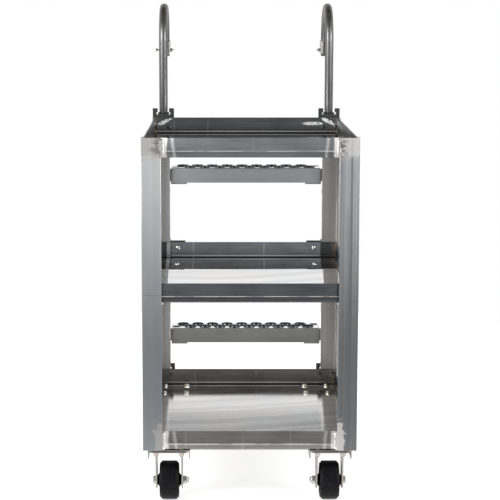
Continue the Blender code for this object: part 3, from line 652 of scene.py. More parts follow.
def fork(crown_z, crown_half, lean, holes=()):
    """A fork bent from strip: round shoulders, and legs that narrow and lean to round ends at the axle."""
    inner = FORK_GAP / 2
    outer = inner + FORK_WALL
    leg_end = wheel_radius - LEG_BELOW_AXLE
    outline = [(-outer, leg_end), (-outer, crown_z), (outer, crown_z), (outer, leg_end), (inner, leg_end)]
    outline += [(inner, crown_z - FORK_WALL), (-inner, crown_z - FORK_WALL), (-inner, leg_end)]
    bm = extruded(outline, "Y", -crown_half, crown_half)
    for vert in bm.verts:
        if vert.co.z < wheel_radius:
            vert.co.y = lean + math.copysign(LEG_END_HALF, vert.co.y)
    rounded(bm, lambda a, b: max(a.z, b.z) < leg_end + 0.0001 and abs(a.y - b.y) < 0.0001, LEG_ROUND, 6)
    rounded(bm, lambda a, b: min(a.z, b.z) > crown_z - 0.0001 and abs(a.x - b.x) < 0.0001, SHOULDER_BEND, 4)
    axle_hole = bar(AXLE_RADIUS + 0.0004, -FORK_GAP, FORK_GAP, 32)
    return carved(bm, [*holes, put(axle_hole, (0, lean, wheel_radius), "X")])


def rigid_caster():
    """The fork under its plate, with a weld along each side of the crown."""
    shapes = [fork(plate_under - 0.0002, FRONT_CROWN_HALF, 0), caster_plate()]
    for way in (-1, 1):
        seam = bead(0.060, 0.0028, 0.0028, 0.05)
        shapes.append(put(seam, (way * FORK_GAP * 0.53, 0, plate_under - 0.0008), "Y"))
    return gathered(shapes)


def race_plate():
    """The plate, its ball race, and the riveted kingpin that holds the fork."""
    race = [(plate_under, 0.0370), (plate_under - 0.004, 0.0374), (0.1300, 0.0374), (0.1281, 0.0366)]
    race += [(0.1281, 0.0315), (plate_under - 0.002, 0.0300), (plate_under - 0.002, 0.0060)]
    race += [(0.1120, 0.0060), (0.1117, 0.0100), (0.1095, 0.0098), (0.1078, 0.0070)]
    return gathered([caster_plate(), turned(race)])


def swivel_fork():
    """The trailing fork, with a hole for the kingpin and the lower race on its crown."""
    crown_z = SWIVEL_CROWN_Z
    pin_hole = put(bar(0.0066, crown_z - 0.01, crown_z + 0.01, 32))
    race = [(crown_z - 0.0002, 0.0350), (0.1272, 0.0350), (0.1278, 0.0340), (0.1278, 0.0250)]
    race += [(crown_z - 0.0002, 0.0240)]
    return gathered([fork(crown_z, REAR_CROWN_HALF, trail, [pin_hole]), turned(race, closed=True)])


zinc = zinc_finish("zinc_finish")
for side_name, side in SIDES.items():
    front = (side * caster_x, front_axle.y, 0)
    rear = (side * caster_x, kingpin_y, 0)
    finished(
        "rigid_caster_" + side_name, put(rigid_caster(), front), "frame", [zinc],
        ["front_caster_frame_" + side_name], edge=0.0005,
    )
    finished(
        "race_plate_" + side_name, put(race_plate(), rear), "frame", [zinc],
        ["rear_caster_plate_" + side_name], edge=0.0005,
    )
    finished(
        "swivel_fork_trailing_" + side_name, put(swivel_fork(), rear), "rear_swivel_" + side_name,
        [zinc], ["rear_caster_fork_" + side_name], edge=0.0004,
    )

# Wheels: 4 in wheels moulded in one piece from black polyolefin, with a flat tread between rounded shoulders
# and a coned hub. Treads are scuffed grey and dusty, sides keep the moulding's gloss.


def wheel_finish():
    finish = Finish("wheel_finish", 0.0)
    finish.shader.inputs["Specular IOR Level"].default_value = 0.12
    grime = finish.noise(40, detail=5.0)
    scuffs = finish.between(finish.noise(260, (0.2, 1, 1), 3.0), 0.56, 0.70)
    grimy = finish.between(grime, 0.45, 0.75)
    colour = finish.blend(grimy, (0.003, 0.003, 0.004, 1), (0.010, 0.010, 0.011, 1))
    colour = finish.blend(scuffs * 0.3, colour, (0.030, 0.030, 0.032, 1))
    return finish.wear(colour, 0.45 + scuffs * 0.3 + grime * 0.1, grime, 0.0003)


def wheel_shape():
    """Hub cone, recessed web, stepped rim, rounded shoulders and a flat tread, turned about X."""
    half = [(0.0314, AXLE_RADIUS + 0.0006), (0.0314, 0.0122), (0.0300, 0.0140), (0.0262, 0.0195)]
    half += [(0.0245, 0.0215), (0.0135, 0.0225), (0.0128, 0.0245), (0.0128, 0.0325), (0.0140, 0.0345)]
    half += [(0.0236, 0.0362), (0.0250, 0.0378), (0.0254, 0.0400), (0.0254, 0.0440), (0.0246, 0.0456)]
    half += [(0.0218, 0.0468), (0.0213, 0.0490), (0.0200, 0.0503), (0.0182, wheel_radius)]
    half += [(0.0006, wheel_radius), (0.0003, wheel_radius - 0.0002)]
    return turned(half + [(-place, radius) for place, radius in reversed(half)], 96, closed=True)


black_wheel = wheel_finish()
for side_name, side in SIDES.items():
    for end_name, axle in (("front", front_axle), ("rear", rear_axle)):
        place = Vector((side * caster_x, axle.y, axle.z))
        node = f"{end_name}_wheel_{side_name}"
        finished(
            f"moulded_wheel_{end_name}_{side_name}", put(wheel_shape(), place, "X"), node,
            [black_wheel], [node], smooth=32,
        )

# Axle bolts and lock nuts: 1/2 in hexagon bolts, heads outwards, and nuts with a domed locking collar. They
# have the casters' zinc plate, a little brighter.
HEAD_ACROSS = 0.019
HEAD_THICK = 0.008
NUT_THICK = 0.0125
GAP = 0.0003  # between pieces that touch
grip = FORK_GAP / 2 + FORK_WALL + GAP


def hexagon(across, low, high, chamfer, both=False):
    """A six-sided head or nut with its top corners chamfered round."""
    bm = bmesh.new()
    radius = across / math.sqrt(3)
    place = Matrix.Translation((0, 0, (low + high) / 2))
    bmesh.ops.create_cone(
        bm, cap_ends=True, segments=6, radius1=radius, radius2=radius, depth=high - low, matrix=place
    )
    ends = (low, high) if both else (high,)
    rounded(bm, lambda a, b: a.z == b.z and any(abs(a.z - end) < 0.0001 for end in ends), chamfer, 1)
    return bm


def nut(across, low, high, bore):
    """A plain nut: a chamfered hexagon with its bore cut out."""
    return carved(hexagon(across, low, high, 0.0006, True), [bar(bore, low - 0.01, high + 0.01, 24)])


def lock_nut():
    """A nut and the domed collar that stands out of it."""
    bore = AXLE_RADIUS + 0.0002
    top = grip + NUT_THICK
    collar = [(grip, 0.0094), (grip + 0.0090, 0.0092), (grip + 0.0108, 0.0088), (top - 0.0006, 0.0080)]
    collar += [(top, 0.0074), (top, bore), (grip, bore)]
    return gathered([nut(HEAD_ACROSS, grip, grip + 0.0088, bore), turned(collar, 32, True)])


fastener_look = zinc_finish("fastener_finish", 0.55, 0.08)
for side_name, side in SIDES.items():
    for end_name, axle in (("front", front_axle), ("rear", rear_axle)):
        body = "frame" if end_name == "front" else "rear_swivel_" + side_name
        place = Vector((side * caster_x, axle.y, axle.z))
        end = -(grip + NUT_THICK + 0.0035)
        shank = turned([(end, AXLE_RADIUS - 0.0012), (end + 0.0012, AXLE_RADIUS), (grip, AXLE_RADIUS)], 32)
        head = hexagon(HEAD_ACROSS, grip, grip + HEAD_THICK, 0.0009)
        node = f"{end_name}_axle_bolt_{side_name}"
        finished(
            f"hex_bolt_{end_name}_{side_name}", put(gathered([shank, head]), place, "X", side), body,
            [fastener_look], [node], edge=0.0003,
        )
        node = f"{end_name}_axle_nut_{side_name}"
        finished(
            f"lock_nut_{end_name}_{side_name}", put(lock_nut(), place, "X", -side), body,
            [fastener_look], [node], edge=0.0003,
        )

# Plate bolts: each caster plate hangs from four 3/8 in bolts whose heads lie on the bottom tray's floor, with
# the nuts and the bolts' ends below the plate.
BOLT_PITCH_X = 0.0667
BOLT_PITCH_Y = 0.0920
BOLT_RADIUS = 0.0048
BOLT_ACROSS = 0.0143
floor_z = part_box("tray_bottom")[0].z + TRAY_SHEET


def plate_bolt():
    """The washer and head on the tray's floor, the shank, and the nut under the caster's plate."""
    washer = turned([(floor_z + 0.0001, 0.0095), (floor_z + 0.0012, 0.0093)], 24)
    head = hexagon(BOLT_ACROSS, floor_z + 0.0012, floor_z + 0.0068, 0.0012)
    tip = plate_under - 0.0125
    shank = turned([(tip, BOLT_RADIUS - 0.0008), (tip + 0.0008, BOLT_RADIUS), (floor_z, BOLT_RADIUS)], 20)
    under = hexagon(BOLT_ACROSS, plate_under - 0.0085, plate_under - 0.0002, 0.0008, True)
    return gathered([washer, head, shank, under])


for side_name, side in SIDES.items():
    for end_name, middle_y in (("front", front_axle.y), ("rear", kingpin_y)):
        bolts = []
        for way_x in (-0.5, 0.5):
            for way_y in (-0.5, 0.5):
                place = (side * caster_x + way_x * BOLT_PITCH_X, middle_y + way_y * BOLT_PITCH_Y, 0)
                bolts.append(put(plate_bolt(), place))
        finished(
            f"plate_bolts_{end_name}_{side_name}", gathered(bolts), "frame", [fastener_look],
            edge=0.0003,
        )

# Guide brackets: plates of 3/16 in aluminium on the rear posts. On the top and bottom pair, a flap is bent
# back out of the plate's notch, between two relief holes, and the ladder's rail slides through a hole in it.
BRACKET_WALL = 0.0048
FLAP_HALF = 0.0164
NOTCH_HALF = 0.0170
NOTCH_DEPTH = 0.014
FLAP_REACH = 0.042
BEND_OUTER = 0.0065
RELIEF_HOLE = 0.0033
TUBE_RADIUS = 0.5 * INCH
GUIDE_CLEARANCE = 0.0006
foot_low, foot_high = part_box("foot_right")
rail_x = (foot_low.x + foot_high.x) / 2
rail_y = (foot_low.y + foot_high.y) / 2
# The guides are aluminium plate like the step ends; their very dark tone is painted shade.
shaded_guide_look = sheet_finish("guide_finish", 0.09, -0.02, 0.42, (1, 1, 0.03))


def flap_guide(node, side):
    """A notched plate whose notch floor is spun back through a right angle and drawn out into the flap."""
    low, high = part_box(node)
    middle = side * rail_x
    half = (high.x - low.x) / 2
    sill = high.z - NOTCH_DEPTH
    floor = sill - BEND_OUTER
    right = [(half, low.z), (half, high.z), (NOTCH_HALF, high.z), (NOTCH_HALF, floor - 0.001)]
    right += [(FLAP_HALF, floor - 0.001), (FLAP_HALF, floor)]
    outline = [(middle + u, v) for u, v in right] + [(middle - u, v) for u, v in reversed(right)]
    bm = extruded(outline, "Y", low.y, low.y + BRACKET_WALL)
    bmesh.ops.recalc_face_normals(bm, faces=bm.faces)
    upward = [face for face in bm.faces if face.normal.z > 0.9]
    root = [face for face in upward if abs(face.calc_center_median().z - floor) < 0.0001]
    bent = bmesh.ops.spin(
        bm, geom=root, cent=(0, low.y + BEND_OUTER, floor), axis=(1, 0, 0), angle=-math.pi / 2, steps=6
    )["geom_last"]
    bmesh.ops.delete(bm, geom=root, context="FACES_ONLY")
    tip = picked(bent, bmesh.types.BMFace)
    drawn = bmesh.ops.extrude_face_region(bm, geom=tip)["geom"]
    shift = (0, FLAP_REACH - BEND_OUTER, 0)
    bmesh.ops.translate(bm, vec=shift, verts=picked(drawn, bmesh.types.BMVert))
    bmesh.ops.delete(bm, geom=tip, context="FACES_ONLY")
    bmesh.ops.remove_doubles(bm, verts=bm.verts, dist=0.000001)
    holes = [put(bar(TUBE_RADIUS + GUIDE_CLEARANCE, sill - 0.03, sill + 0.01), (middle, rail_y, 0))]
    for way in (-1, 1):
        relief = bar(RELIEF_HOLE, -0.01, 0.01, 20)
        holes.append(put(relief, (middle + way * (NOTCH_HALF + 0.0008), low.y, sill - 0.001), "Y"))
    return carved(bm, holes)


for side_name, side in SIDES.items():
    for level in ("top", "bottom"):
        node = f"guide_{level}_{side_name}"
        finished(
            f"flap_guide_{level}_{side_name}", flap_guide(node, side), "frame",
            [shaded_guide_look], [node], edge=0.0005,
        )
    node = "guide_middle_" + side_name
    finished(
        "shelf_guide_" + side_name, from_cad(node), "frame", [shaded_guide_look], [node],
        edge=0.0004,
    )

# Bracket fixings: two button-head bolts through lip, post and flap guide, their heads inside the tray and
# their nuts behind. Each shelf guide has one dome rivet, and is welded to its post along its foot.
BRACKET_BOLTS = {"top": (0.230, 0.267, 0.938), "bottom": (0.2265, 0.264, 0.186)}  # two x, one z
BOLT_HEAD = 0.0058
BOLT_HEAD_HEIGHT = 0.0034
BOLT_SHANK = 0.0031
SMALL_ACROSS = 0.0111
RIVET_X = 0.205
RIVET_Z = 0.573
SHELF_WELD_X = 0.2535
lip_face = rear_y - POST_WALL - GAP - TRAY_SHEET


def domed(radius, height, shares):
    """A small round head, from shares of its height and radius."""
    return turned([(height * up, radius * out) for up, out in shares], 24)


def button_head(radius, height):
    """A button-head screw's head on its seat at zero, with a hexagon socket in its crown."""
    head = domed(radius, height, [(0, 1), (0.35, 0.95), (0.7, 0.78), (0.93, 0.5), (1, 0.3)])
    return carved(head, [hexagon(radius * 0.8, height * 0.4, height * 1.5, 0.0001)])


def dome_rivet(radius, height):
    """A blind rivet's dome, with the broken mandrel sunk in the middle."""
    return domed(radius, height, [(0, 1), (0.3, 0.96), (0.75, 0.72), (1, 0.42), (0.97, 0.30), (0.45, 0.27)])


# The bracket bolts have the fastenings' zinc plate; their dark tone is painted reflection of the dark inside
# the tray.
bolt_dark_reflection_look = zinc_finish("bracket_bolt_finish", 0.12, 0.03)
rivet_look = zinc_finish("rivet_finish", 0.80, 0.01)
for side_name, side in SIDES.items():
    for level, (near_x, far_x, bolt_z) in BRACKET_BOLTS.items():
        bolts = []
        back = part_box(f"guide_{level}_{side_name}")[0].y + BRACKET_WALL
        for bolt_x in (near_x, far_x):
            place = (side * bolt_x, 0, bolt_z)
            head_place = (side * bolt_x, lip_face, bolt_z)
            bolts.append(put(button_head(BOLT_HEAD, BOLT_HEAD_HEIGHT), head_place, "Y", -1))
            bolts.append(put(bar(BOLT_SHANK, lip_face - 0.001, back + 0.0085, 16), place, "Y"))
            bolts.append(put(hexagon(SMALL_ACROSS, back + 0.0001, back + 0.0058, 0.0007, True), place, "Y"))
        finished(
            f"bracket_bolts_{level}_{side_name}", gathered(bolts), "frame", [bolt_dark_reflection_look],
            edge=0.0002,
        )
    low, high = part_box("guide_middle_" + side_name)
    front_dome = put(dome_rivet(0.0064, 0.0026), (side * RIVET_X, lip_face, RIVET_Z), "Y", -1)
    blind_side = put(dome_rivet(0.0040, 0.0026), (side * RIVET_X, low.y + 0.0032, RIVET_Z), "Y")
    finished(
        f"shelf_rivet_{side_name}", gathered([front_dome, blind_side]), "frame",
        [rivet_look],
    )
    weld_place = (side * SHELF_WELD_X, low.y + 0.0004, low.z - 0.0004)
    seam = put(bead(0.036, 0.0024, 0.0024, 0.08), weld_place, "X")
    finished(f"shelf_weld_{side_name}", seam, "frame", [weld])

# Rails: two 1 in tubes, each one piece from its rubber foot up through the guides and over into a cane-shaped
# handrail. The drawn tube is satin, with fine lines along it and faint chatter marks from the bender.
TUBE_WALL = 0.002
BEND_RADIUS = 4 * INCH
rail_low, rail_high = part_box("rail_right")
bend_z = rail_high.z - BEND_RADIUS - TUBE_RADIUS
far_y = rail_y + 2 * BEND_RADIUS
cap_low, cap_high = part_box("handrail_cap_right")
leg_end_z = cap_high.z - 0.010


def tube_finish():
    finish = Finish("tube_finish")
    lines = finish.noise(900, (1, 1, 0.01), 2.0)
    clouds = finish.noise(20, (1, 1, 0.4))
    colour = finish.blend(finish.between(lines * 0.5 + clouds * 0.5, 0.35, 0.65), tint(0.15), tint(0.21))
    bent = finish.between(finish.z, bend_z + 0.03, bend_z + 0.08)
    chatter = bent * finish.between(finish.noise(75), 0.52, 0.66)
    colour = finish.blend(chatter * 0.5, colour, (0.36, 0.34, 0.26, 1))
    rubs = finish.between(finish.noise(50, (1, 1, 0.15), 4.0), 0.62, 0.70)
    return finish.wear(colour, 0.36 + clouds * 0.10 + rubs * 0.12 + chatter * 0.1, lines + rubs, 0.00004)


def cane(side):
    """A circle drawn up, spun over through half a turn and drawn down again."""
    bm = bmesh.new()
    start = bmesh.ops.create_circle(bm, segments=ROUND_SIDES, radius=TUBE_RADIUS)["verts"]
    bmesh.ops.translate(bm, vec=(0, 0, rail_low.z), verts=start)
    risen = bmesh.ops.extrude_edge_only(bm, edges=bm.edges[:])["geom"]
    ring = picked(risen, bmesh.types.BMVert)
    bmesh.ops.translate(bm, vec=(0, 0, bend_z - rail_low.z), verts=ring)
    edges = [edge for edge in bm.edges if all(vert in ring for vert in edge.verts)]
    over = bmesh.ops.spin(
        bm, geom=ring + edges, cent=(0, BEND_RADIUS, bend_z), axis=(1, 0, 0), angle=-math.pi, steps=40
    )["geom_last"]
    dropped = bmesh.ops.extrude_edge_only(bm, edges=picked(over, bmesh.types.BMEdge))["geom"]
    bmesh.ops.translate(bm, vec=(0, 0, leg_end_z - bend_z), verts=picked(dropped, bmesh.types.BMVert))
    return put(bm, (side * rail_x, rail_y, 0))


tube_look = tube_finish()
for side_name, side in SIDES.items():
    node = "rail_" + side_name
    tube = finished("cane_" + node, cane(side), "ladder", [tube_look], [node], smooth=60)
    walled(tube, TUBE_WALL)

# Rail ends: a ribbed black rubber cup on each foot, which meets the floor when the ladder is pressed down,
# and a black plastic plug in the handrail's end.


def black_finish(name, level, roughness, grain):
    """Black rubber or plastic with a fine moulded grain and grey dust in patches."""
    finish = Finish(name, 0.0)
    dust = finish.between(finish.noise(90, detail=5.0), 0.52, 0.74)
    pores = finish.noise(grain, detail=2.0)
    colour = finish.blend(dust * 0.5, (level, level, level * 1.05, 1), tint(level + 0.07, 0.04))
    return finish.wear(colour, roughness + dust * 0.15, pores, 0.0001)


rubber_look = black_finish("foot_rubber_finish", 0.015, 0.62, 900)
plug_look = black_finish("plug_finish", 0.020, 0.42, 1500)
for side_name, side in SIDES.items():
    height = foot_high.z - foot_low.z
    socket = TUBE_RADIUS + 0.0002
    cup = [(0.0, 0.0118), (0.0008, 0.0138), (0.0025, 0.0158), (0.0070, 0.0160), (0.0090, 0.0150)]
    for rib in range(3):
        rib_z = 0.0110 + rib * 0.0040
        cup += [(rib_z, 0.0149), (rib_z + 0.0008, 0.0155), (rib_z + 0.0020, 0.0155), (rib_z + 0.0028, 0.0149)]
    cup += [(height - 0.0012, 0.0149), (height, 0.0142), (height, socket), (0.0085, socket)]
    place = (side * rail_x, rail_y, foot_low.z)
    finished(
        f"rubber_foot_{side_name}", put(turned(cup), place), "ladder", [rubber_look],
        ["foot_" + side_name],
    )
    plug = [(cap_low.z - leg_end_z, 0.0080), (cap_low.z - leg_end_z + 0.0004, 0.0110), (-0.0014, 0.0126)]
    plug += [(-0.0003, 0.0126), (-0.0003, 0.0104), (0.0098, 0.0100)]
    place = (side * rail_x, far_y, leg_end_z)
    finished(
        f"tube_plug_{side_name}", put(turned(plug), place), "ladder", [plug_look],
        ["handrail_cap_" + side_name],
    )

# Collars and springs: steel set collars clamped on the rails by socket screws. The lower one stops the rise
# of the ladder under the bottom flap. The upper one rests on the oiled spring that carries the ladder.
SPRING_COIL = 0.0157
SPRING_WIRE = 0.0015
SPRING_TURNS = 8
COIL_STEPS = 32


def spring_finish():
    finish = Finish("spring_finish")
    oil = finish.noise(120, detail=4.0)
    colour = finish.blend(finish.between(oil, 0.4, 0.65), tint(0.34), (0.20, 0.17, 0.14, 1))
    return finish.wear(colour, 0.24 + oil * 0.2, finish.noise(900), 0.00003)


def set_collar(low, high, radius):
    """A collar with eased edges and a set screw in its rear side."""
    inner = TUBE_RADIUS + 0.0002
    tall = high - low
    profile = [(0, radius - 0.0010), (0.0003, radius - 0.0003), (0.0010, radius), (tall - 0.0010, radius)]
    profile += [(tall - 0.0003, radius - 0.0003), (tall, radius - 0.0010), (tall, inner), (0, inner)]
    ring = turned(profile, closed=True)
    tapped = put(bar(0.0026, radius - 0.0012, radius + 0.004, 20), (0, 0, tall / 2), "Y")
    screw = put(hexagon(0.0040, radius - 0.0016, radius - 0.0006, 0.0002), (0, 0, tall / 2), "Y")
    return gathered([carved(ring, [tapped]), screw])


spring_look = spring_finish()
for side_name, side in SIDES.items():
    for kind in ("stop", "spring"):
        node = f"{kind}_collar_{side_name}"
        low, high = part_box(node)
        shape = set_collar(low.z, high.z, (high.x - low.x) / 2)
        finished(
            f"set_collar_{kind}_{side_name}", put(shape, (side * rail_x, rail_y, low.z)), "ladder",
            [zinc], [node],
        )
    node = "spring_" + side_name
    low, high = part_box(node)
    rise = high.z - low.z - 2 * SPRING_WIRE
    steps = SPRING_TURNS * COIL_STEPS
    wire = bmesh.new()
    start = bmesh.ops.create_circle(wire, cap_ends=True, segments=10, radius=SPRING_WIRE)["verts"]
    bmesh.ops.rotate(wire, matrix=Matrix.Rotation(math.radians(90), 3, "X"), verts=start)
    bmesh.ops.translate(wire, vec=(SPRING_COIL, 0, SPRING_WIRE), verts=start)
    bmesh.ops.spin(
        wire, geom=everything(wire), cent=(0, 0, 0), axis=(0, 0, 1), dvec=(0, 0, rise / steps),
        angle=2 * math.pi * SPRING_TURNS, steps=steps,
    )
    foot = (side * rail_x, rail_y, low.z)
    coil = finished("coil_" + node, put(wire, foot), "frame", [spring_look], [node])
    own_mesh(coil)

# Steps: three planks of pressed sheet with front and rear flanges. Two staggered rows of holes are punched up
# into collars with rims serrated for grip. The tread is bright between the collars, whose dark tone is
# painted shade; the flanges are satin, darker on each lower step as painted shade.
STEP_SHEET = 0.002
STEP_BEND = 0.004
HOLE_RADIUS = 0.0155
COLLAR_ROOT = 0.0175
COLLAR_HEIGHT = 0.004
HOLE_PITCH = 0.045
HOLE_ROWS = ((0.026, -0.214), (0.063, -0.1915))
HOLES_IN_ROW = 10
TEETH = 12


def step_finish(name, tone, roughness, warmth=0.0):
    """Pressed sheet: lengthwise rolling lines, soft clouds and small rubbed marks."""
    finish = Finish(name)
    lines = finish.noise(900, (0.02, 1, 1), 2.0)
    clouds = finish.noise(13, (0.5, 1, 1))
    shade = finish.between(lines * 0.4 + clouds * 0.6, 0.35, 0.65)
    colour = finish.blend(shade, tint(tone * 0.92, warmth), tint(tone * 1.06, warmth))
    rubs = finish.between(finish.noise(80, (0.4, 1, 1), 4.0), 0.62, 0.72)
    colour = finish.blend(rubs * 0.3, colour, tint(tone * 0.6, warmth))
    return finish.wear(colour, roughness + lines * 0.08 + rubs * 0.1, lines, 0.00002)


def tread_collar():
    """A collar drawn up out of the tread: a flared foot, a wall and a serrated rim that leans inwards."""
    radii = [(COLLAR_ROOT + 0.0016, 0.0), (COLLAR_ROOT + 0.0004, 0.0004), (COLLAR_ROOT - 0.0002, 0.0018)]
    radii += [(HOLE_RADIUS + 0.0014, COLLAR_HEIGHT - 0.0004), (HOLE_RADIUS + 0.0004, COLLAR_HEIGHT)]
    radii += [(HOLE_RADIUS, COLLAR_HEIGHT - 0.0008), (HOLE_RADIUS, -STEP_SHEET)]
    collar = turned([(z, radius) for radius, z in radii], 2 * TEETH)
    caps = [face for face in collar.faces if len(face.verts) > 4]
    bmesh.ops.delete(collar, geom=caps, context="FACES_ONLY")
    for vert in collar.verts:
        if vert.co.z > COLLAR_HEIGHT - 0.001:
            turn = math.atan2(vert.co.y, vert.co.x) * 2 * TEETH / (2 * math.pi)
            vert.co.z -= 0.0011 * (round(turn) % 2)
    for face in collar.faces:
        face.material_index = 2
    return collar


def pressed_step(low, high):
    """The plank with its holes cut, and the collars that stand round the whole holes."""
    tread_z = high.z - COLLAR_HEIGHT
    outline = [(low.y, low.z), (low.y, tread_z), (high.y, tread_z), (high.y, low.z)]
    outline += [(high.y - STEP_SHEET, low.z), (high.y - STEP_SHEET, tread_z - STEP_SHEET)]
    outline += [(low.y + STEP_SHEET, tread_z - STEP_SHEET), (low.y + STEP_SHEET, low.z)]
    plank = extruded(outline, "X", low.x, high.x)
    rounded(plank, lambda a, b: min(a.z, b.z) > tread_z - 0.0001 and a.y == b.y, STEP_BEND, 4)
    rounded(
        plank, lambda a, b: abs(a.z - tread_z + STEP_SHEET) < 0.0001 and a.y == b.y and a.z == b.z,
        STEP_BEND - STEP_SHEET, 3,
    )
    punches = []
    collars = []
    for depth, first in HOLE_ROWS:
        for index in range(HOLES_IN_ROW):
            place = (first + index * HOLE_PITCH, low.y + depth, tread_z)
            whole = abs(place[0]) + COLLAR_ROOT < high.x
            punches.append(put(bar(COLLAR_ROOT if whole else HOLE_RADIUS, -0.01, 0.01, 2 * TEETH), place))
            if whole:
                collars.append(put(tread_collar(), place))
    plank = carved(plank, [gathered(punches)])
    for face in plank.faces:
        face.material_index = 1 if face.normal.z > 0.9 else 0
    return gathered([plank, *collars])


# Tone, roughness and warmth of each step's flanges. The steps are one sheet, so the darker lower flanges are
# painted shade.
FLANGE_LOOKS = {"top": (0.50, 0.40, -0.02), "middle": (0.42, 0.40, 0.0), "bottom": (0.34, 0.40, 0.01)}
tread_look = step_finish("step_tread_finish", 0.86, 0.12, -0.01)
# Painted shade: the collars are drawn from the tread's sheet but coloured near black.
shaded_collar_look = step_finish("step_collar_finish", 0.09, 0.30, -0.08)
for level, flange_tones in FLANGE_LOOKS.items():
    flange_look = step_finish(f"step_{level}_flange_finish", *flange_tones)
    low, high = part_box("step_" + level)
    finished(
        f"pressed_step_{level}", pressed_step(low, high), "ladder",
        [flange_look, tread_look, shaded_collar_look], ["step_" + level], smooth=30,
    )

# Step ends: a bent 1/8 in plate closes each end of a step. Its tab is screwed behind the front flange and its
# outer block is welded to the rail.
SCREW_X = 0.196
SCREW_DROPS = (0.012, 0.033)  # below the end's top edge
WELD_DROP = 0.020
end_look = sheet_finish("step_end_finish", 0.40, 0.0, 0.36, (1, 1, 0.04))
for level in ("top", "middle", "bottom"):
    for side_name, side in SIDES.items():
        node = f"step_end_{level}_{side_name}"
        low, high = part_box(node)
        finished(
            f"bent_end_{level}_{side_name}", from_cad(node), "ladder", [end_look],
            [node], edge=0.0005,
        )
        screws = []
        for drop in SCREW_DROPS:
            place = (side * SCREW_X, low.y + 0.003, high.z - drop)
            screws.append(put(button_head(0.0042, 0.0024), place, "Y"))
        finished(
            f"end_screws_{level}_{side_name}", gathered(screws), "ladder", [fastener_look],
            edge=0.0002,
        )
        seams = []
        for way in (-1, 1):
            place = (side * (rail_x - TUBE_RADIUS + 0.0006), rail_y + way * 0.0078, high.z - WELD_DROP)
            seams.append(bead(0.030, 0.0022, 0.0024, 0.08, place))
        finished(f"rail_welds_{level}_{side_name}", gathered(seams), "ladder", [weld])

# Hanger plates: a flat zinc-plated plate is bolted inside each handrail's far leg by a 1/4 in hexagon bolt,
# with the nut on the plate's inner face. The left bolt is the longer one.
HANGER_WALL = 0.0024
plate_face = -TUBE_RADIUS - GAP - HANGER_WALL
for side_name, side in SIDES.items():
    node = "hanger_plate_" + side_name
    finished(f"flat_hanger_{side_name}", from_cad(node), "ladder", [zinc], [node], edge=0.0004)
    node = "hanger_bolt_" + side_name
    low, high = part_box(node)
    inner, outer = sorted(side * x - rail_x for x in (low.x, high.x))
    shank = turned([(inner, 0.0024), (inner + 0.0006, BOLT_SHANK), (outer - 0.004, BOLT_SHANK)], 20)
    head = hexagon(SMALL_ACROSS, outer - 0.0045, outer, 0.0007)
    thin_nut = hexagon(SMALL_ACROSS, plate_face - 0.0056, plate_face - 0.0001, 0.0007, True)
    place = (side * rail_x, far_y, (low.z + high.z) / 2)
    finished(
        f"hanger_fixing_{side_name}", put(gathered([shank, head, thin_nut]), place, "X", side), "ladder",
        [fastener_look], [node], edge=0.0002,
    )

# Studio: a pale floor, two tall soft boxes at the front, a white wall of light behind, a dark ceiling, and a
# long lens a little above the deck.
WHITE = (1.0, 1.0, 1.0, 1.0)


def floor_look():
    """Matt white, lit from within further out, so that its edge melts into the white behind."""
    finish = Finish("studio_floor", 0.0)
    shade = finish.noise(1.5)
    away = finish.node("ShaderNodeVectorMath", {"operation": "LENGTH"}, {0: finish.place}, "Value")
    glow = finish.blend(finish.between(away, 0.3, 1.1), tint(0.62), WHITE)
    finish.tree.links.new(glow.socket, finish.shader.inputs["Emission Color"])
    finish.shader.inputs["Emission Strength"].default_value = 0.8
    colour = finish.blend(shade, tint(0.86), tint(0.90))
    return finish.wear(colour, 0.7 + shade * 0.1)


FLOOR_RADIUS = 2.2
FLOOR_FRONT = -0.78
ground = bmesh.new()
bmesh.ops.create_circle(ground, cap_ends=True, segments=96, radius=FLOOR_RADIUS)
bmesh.ops.bisect_plane(
    ground, geom=everything(ground), plane_co=(0, FLOOR_FRONT, 0), plane_no=(0, -1, 0), clear_outer=True
)
floor_mesh = bpy.data.meshes.new("studio_floor")
ground.to_mesh(floor_mesh)
ground.free()
floor_mesh.materials.append(floor_look())
floor = bpy.data.objects.new("studio_floor", floor_mesh)
bpy.context.scene.collection.objects.link(floor)

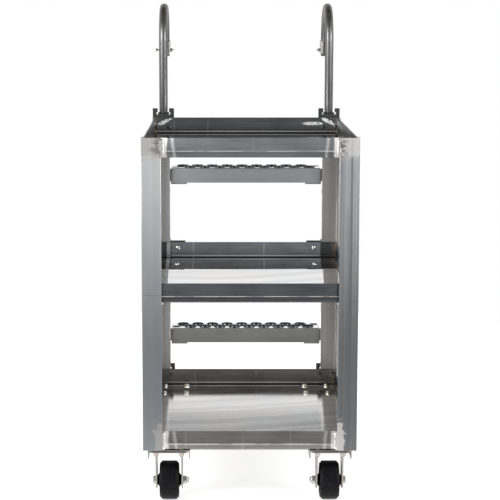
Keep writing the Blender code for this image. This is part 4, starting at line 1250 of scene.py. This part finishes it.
SOFT_BOXES = {"key": (-2.6, -2.0, 2.0, 1.0, 1.4, 95.0), "fill": (2.8, -2.0, 1.9, 1.0, 1.4, 70.0)}
for name, (x, y, z, wide, tall, power) in SOFT_BOXES.items():
    lamp = bpy.data.lights.new(name, "AREA")
    lamp.shape = "RECTANGLE"
    lamp.size = wide
    lamp.size_y = tall
    lamp.energy = power
    stand = bpy.data.objects.new(name, lamp)
    stand.location = (x, y, z)
    stand.rotation_euler = (Vector((0, 0, 0.7)) - stand.location).to_track_quat("-Z", "Y").to_euler()
    bpy.context.scene.collection.objects.link(stand)

world = bpy.data.worlds.new("studio")
bpy.context.scene.world = world
sky = Nodes(world, "Generated")
# Place on the way up, level and warmth of the room in front, which the metal reflects.
ROOM_TONES = [(0.0, 0.55, 0.0), (0.34, 0.40, 0.02), (0.40, 0.26, 0.03), (0.44, 0.30, -0.04)]
ROOM_TONES += [(0.475, 0.52, -0.02), (0.56, 0.60, 0.0), (0.75, 0.40, 0.0)]
ramp = sky.node("ShaderNodeValToRGB", {}, {"Fac": sky.z * 0.5 + 0.5})
stops = ramp.socket.node.color_ramp.elements
while len(stops) < len(ROOM_TONES):
    stops.new(0.5)
for stop, (place, level, warmth) in zip(stops, ROOM_TONES):
    stop.position = place
    stop.color = tint(level, warmth)
behind = sky.between(sky.y, -0.05, 0.25)
overhead = sky.between(sky.z, 0.50, 0.75)
glow = sky.blend(behind, ramp, WHITE)
glow = sky.blend(overhead, glow, (0.16, 0.155, 0.13, 1))
to_camera = sky.node("ShaderNodeLightPath", output="Is Camera Ray")
glow = sky.blend(to_camera, glow, WHITE)
sky.tree.links.new(glow.socket, sky.tree.nodes["Background"].inputs["Color"])

camera_data = bpy.data.cameras.new("camera")
camera_data.lens = 116.29
camera_data.sensor_width = 36
camera_data.shift_x = 0.0577
camera_data.clip_end = 50
camera = bpy.data.objects.new("camera", camera_data)
camera.location = (-0.0748, -4.583, 1.311)
camera.rotation_euler = (math.radians(81.22), 0, 0)
bpy.context.scene.collection.objects.link(camera)
bpy.context.scene.camera = camera
bpy.context.scene.view_settings.view_transform = "Standard"
